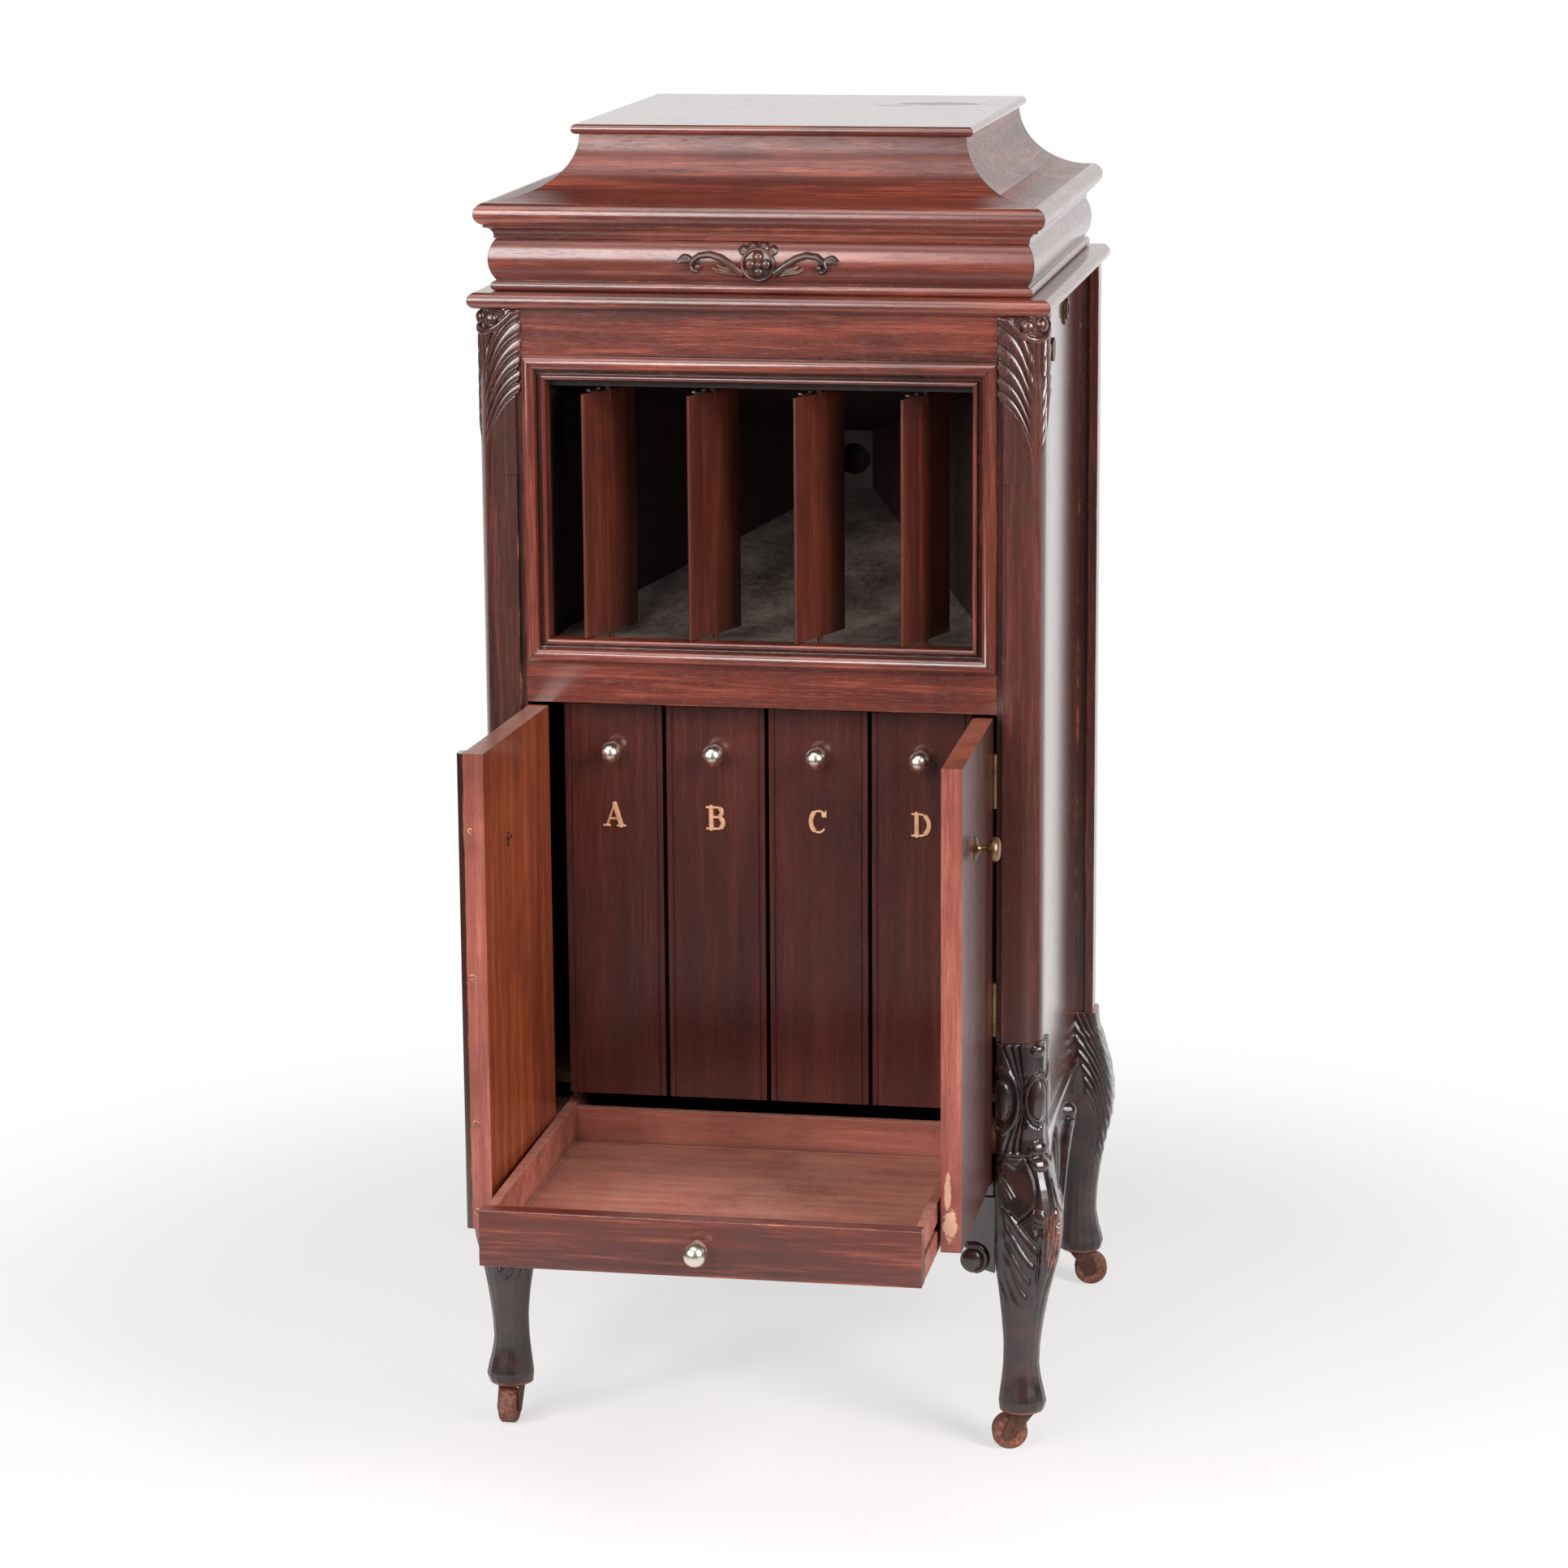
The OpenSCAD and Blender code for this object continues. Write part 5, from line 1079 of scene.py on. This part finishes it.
# %% Hooks
def bent_strip(name, points, half_width, thick, body, material):
    """A flat strip bent along points in mm. Its width lies level, square to the way it runs."""
    rows = []
    for i, point in enumerate(points):
        before, after = points[max(i - 1, 0)], points[min(i + 1, len(points) - 1)]
        ahead = (Vector(after) - Vector(before)).normalized()
        level = Vector((-ahead.y, ahead.x, 0)).normalized() * half_width
        up = ahead.cross(level).normalized() * (thick / 2)
        rows.append([Vector(point) + level * a + up * b for a, b in ((-1, -1), (1, -1), (1, 1), (-1, 1))])
    mesh = grid_mesh(name, np.array([[tuple(v) for v in row] for row in rows]), closed=True)
    work = bmesh.new()
    work.from_mesh(mesh)
    bmesh.ops.holes_fill(work, edges=work.edges)
    bmesh.ops.recalc_face_normals(work, faces=work.faces)
    work.to_mesh(mesh)
    work.free()
    strip = add_piece(name, mesh, body, [material])
    soft = strip.modifiers.new("rounded", "BEVEL")
    soft.width, soft.segments = thick * 0.3 * MM, 2
    baked(strip).data.set_sharp_from_angle(angle=SHARP_FROM)


LOUVRE_Y, LOUVRE_TOP, LOUVRE_TURN = -193.0, 979.5, math.radians(69)
LOUVRE_COS, LOUVRE_SIN = math.cos(LOUVRE_TURN), math.sin(LOUVRE_TURN)
bend = [(-33, 3.4), (-32, 1.6), (-30, 0.7), (-24, 0.7), (-18, 0.7), (-16.5, 1.8), (-16, 3.2)]
for number, x0 in enumerate((-146.1, -48.7, 48.7, 146.1)):
    bent = [(x0 + t * LOUVRE_COS, LOUVRE_Y + t * LOUVRE_SIN, LOUVRE_TOP + up) for t, up in bend]
    bent_strip("louvre_%d_hook" % (number + 1), bent, 2.0, 0.9, "louvre_%d" % (number + 1), nickel)
print("bent", number + 1, "hooks")

# %% [markdown]
# ## Scrolls under the case
# The front apron ends in a bracket that curls into a ball, with a rim sweeping round it. The side apron has
# a hanging drop: two rolls run down to its tip, with a shell between them. The aprons are flat, so these
# are reliefs on a plane, and one height function serves both sides.

# %% Scrolls
APRON_FRONT, APRON_SIDE = -234.0, 245.3


def curl_height(x, z):
    a = np.abs(x)
    ball = np.hypot(a - 196.4, z - 178.6) / 10.4
    h = np.where(ball < 1, 6.0 * dome(ball), -1.0)
    rim = [(160, 205.5), (172, 202), (184, 196.5), *curve((197.0, 180.6), (12.4, 12.4), 110, -75, 24)]
    d, _ = far_from_path(a, z, rim)
    return np.maximum(h, np.where(d < 3.2, 4.2 * dome(d / 3.2), -1.0))


def drop_height(y, z):
    a = np.abs(y)
    shell = np.hypot(a / 17, (z - 205) / 36)
    h = np.where(shell < 1, 4.6 * dome(shell) - 1.4 * np.abs(np.cos(a * 0.62)), -1.0)
    roll = [(112, 226), (104, 213), (92, 209.5), (76, 203), (58, 194), (38, 179), (20, 163), (5, 155.5)]
    d, along = far_from_path(a, z, roll)
    width = 4.6 + 2.2 * np.sin(np.pi * along)
    h = np.maximum(h, np.where(d < width, 7.0 * dome(d / width), -1.0))
    ball = np.hypot(a - 106, z - 224) / 9.0
    return np.maximum(h, np.where(ball < 1, 8.4 * dome(ball), -1.0))


for side, name in ((1, "right"), (-1, "left")):
    span = (150, 214) if side > 0 else (-214, -150)
    relief(name + "_bracket_curl", "cabinet", carved_dark, (*span, 164, 214), 0.5,
           curl_height, flat_ground(APRON_FRONT))
    relief(name + "_side_drop", "cabinet", carved_dark, (-122, 122, 149, 246), 0.8,
           drop_height, flat_ground(APRON_SIDE), side=side)
print("carved the scrolls under the case")

# %% [markdown]
# ## Floor and light
# The object stands on a sweep of white paper that rises behind it. Seen by the camera it is white, and only
# the shadow under the cabinet darkens it. The polished side and lid mirror it as white too. In front, past
# the end of the paper, lies a dark studio, and the polished front mirrors that: its wood keeps its red. The
# main lamp stands at the right, a weaker one at the left and one beside the camera, and the fourth fills
# from above.

# %% Floor
FLOOR_WHITE = 0.60
FLOOR_HALF = 14.0
FLOOR_Z = -0.0003
PAPER_END = (-1.9, -1.15)
PAPER_SIDE = (1.2, 1.55)
PAPER_BACK = (0.2, 1.1)
DARK_STUDIO = colour(0.085, 0.075, 0.07)


def paper_floor():
    f = Finish("white_paper")
    place = f.place()
    x, y, _ = f.parts(place)
    radius = (x * x + y * y) ** 0.5
    away, apart = radius.ramp(0.55, 1.25), radius.ramp(0.40, 0.85)
    seen = f.add("ShaderNodeLightPath", out="Is Camera Ray")
    mirrored = f.add("ShaderNodeLightPath", out="Is Glossy Ray")
    through = f.add("ShaderNodeLightPath", out="Is Transmission Ray")
    grainy = f.noise(place, 400, 2, 0.5)
    paper = f.blend(grainy * 0.04, colour(0.86, 0.822, 0.810), colour(0.76, 0.73, 0.72))
    lit = f.add("ShaderNodeBsdfPrincipled",
                {"Base Color": paper, "Roughness": 1.0, "Specular IOR Level": 0.0})
    white = f.add("ShaderNodeEmission", {"Color": colour(1, 1, 1), "Strength": 1.0})
    dark = f.add("ShaderNodeEmission", {"Color": DARK_STUDIO, "Strength": 1.0})
    shaded = f.add("ShaderNodeMixShader", {0: FLOOR_WHITE + away * (1 - FLOOR_WHITE), 1: lit, 2: white})
    beside = abs(x).ramp(*PAPER_SIDE) * (1 - y.ramp(*PAPER_BACK))
    sweep = f.add("ShaderNodeMixShader", {0: y.ramp(*PAPER_END) * (1 - beside), 1: dark, 2: white})
    sweep = f.add("ShaderNodeMixShader", {0: apart, 1: lit, 2: sweep})
    first = f.add("ShaderNodeMixShader", {0: seen, 1: lit, 2: shaded})
    f.add_output(f.add("ShaderNodeMixShader", {0: (mirrored + through) > 0.5, 1: first, 2: sweep}))
    return f.material


floor_mesh = bpy.data.meshes.new("floor")
corners = [(-1, -1), (1, -1), (1, 1), (-1, 1)]
floor_mesh.from_pydata([(x * FLOOR_HALF, y * FLOOR_HALF, FLOOR_Z) for x, y in corners], [], [(0, 1, 2, 3)])
floor = bpy.data.objects.new("floor", floor_mesh)
floor_mesh.materials.append(paper_floor())
bpy.context.scene.collection.objects.link(floor)
print("laid a floor of", 2 * FLOOR_HALF, "m")

# %% Lamps
def lamp(name, at, aim, width, height, power):
    data = bpy.data.lights.new(name, "AREA")
    data.shape = "RECTANGLE"
    data.size = width
    data.size_y = height
    data.energy = power
    obj = bpy.data.objects.new(name, data)
    bpy.context.scene.collection.objects.link(obj)
    obj.location = at
    obj.rotation_euler = (Vector(aim) - Vector(at)).to_track_quat("-Z", "Y").to_euler()


lamp("left_softbox", (-2.3, -2.6, 2.1), (0, 0, 0.6), 0.9, 1.5, 60)
lamp("right_softbox", (2.9, -2.1, 2.2), (0, 0, 0.6), 1.5, 2.1, 155)
lamp("front_softbox", (-1.2, -4.0, 2.35), (0, 0, 0.8), 1.3, 2.4, 85)
lamp("top_softbox", (-0.3, -1.1, 3.1), (0, -0.2, 0.9), 2.2, 1.3, 24)
print("hung", len(bpy.data.lights), "lamps")

# %% World
def studio_world():
    """White where the paper stands behind the cabinet, and a dark room above it and behind the camera."""
    world = bpy.data.worlds.new("studio")
    bpy.context.scene.world = world
    f = Finish("studio", world)
    x, y, z = f.parts(f.add("ShaderNodeTexCoord", out="Generated"))
    behind = (y - abs(x) * 0.9).ramp(-0.1, 0.4) * (1 - z.ramp(0.45, 0.72))
    seen = f.add("ShaderNodeLightPath", out="Is Camera Ray")
    room = f.add("ShaderNodeBackground", {"Color": colour(0.06, 0.058, 0.056), "Strength": 1.0})
    paper = f.add("ShaderNodeBackground", {"Color": colour(0.92, 0.92, 0.92), "Strength": 1.0})
    white = f.add("ShaderNodeBackground", {"Color": colour(1, 1, 1), "Strength": 1.0})
    around = f.add("ShaderNodeMixShader", {0: behind, 1: room, 2: paper})
    f.add_output(f.add("ShaderNodeMixShader", {0: seen, 1: around, 2: white}), "ShaderNodeOutputWorld")


studio_world()
bpy.context.scene.view_settings.view_transform = "Standard"
print("lit")
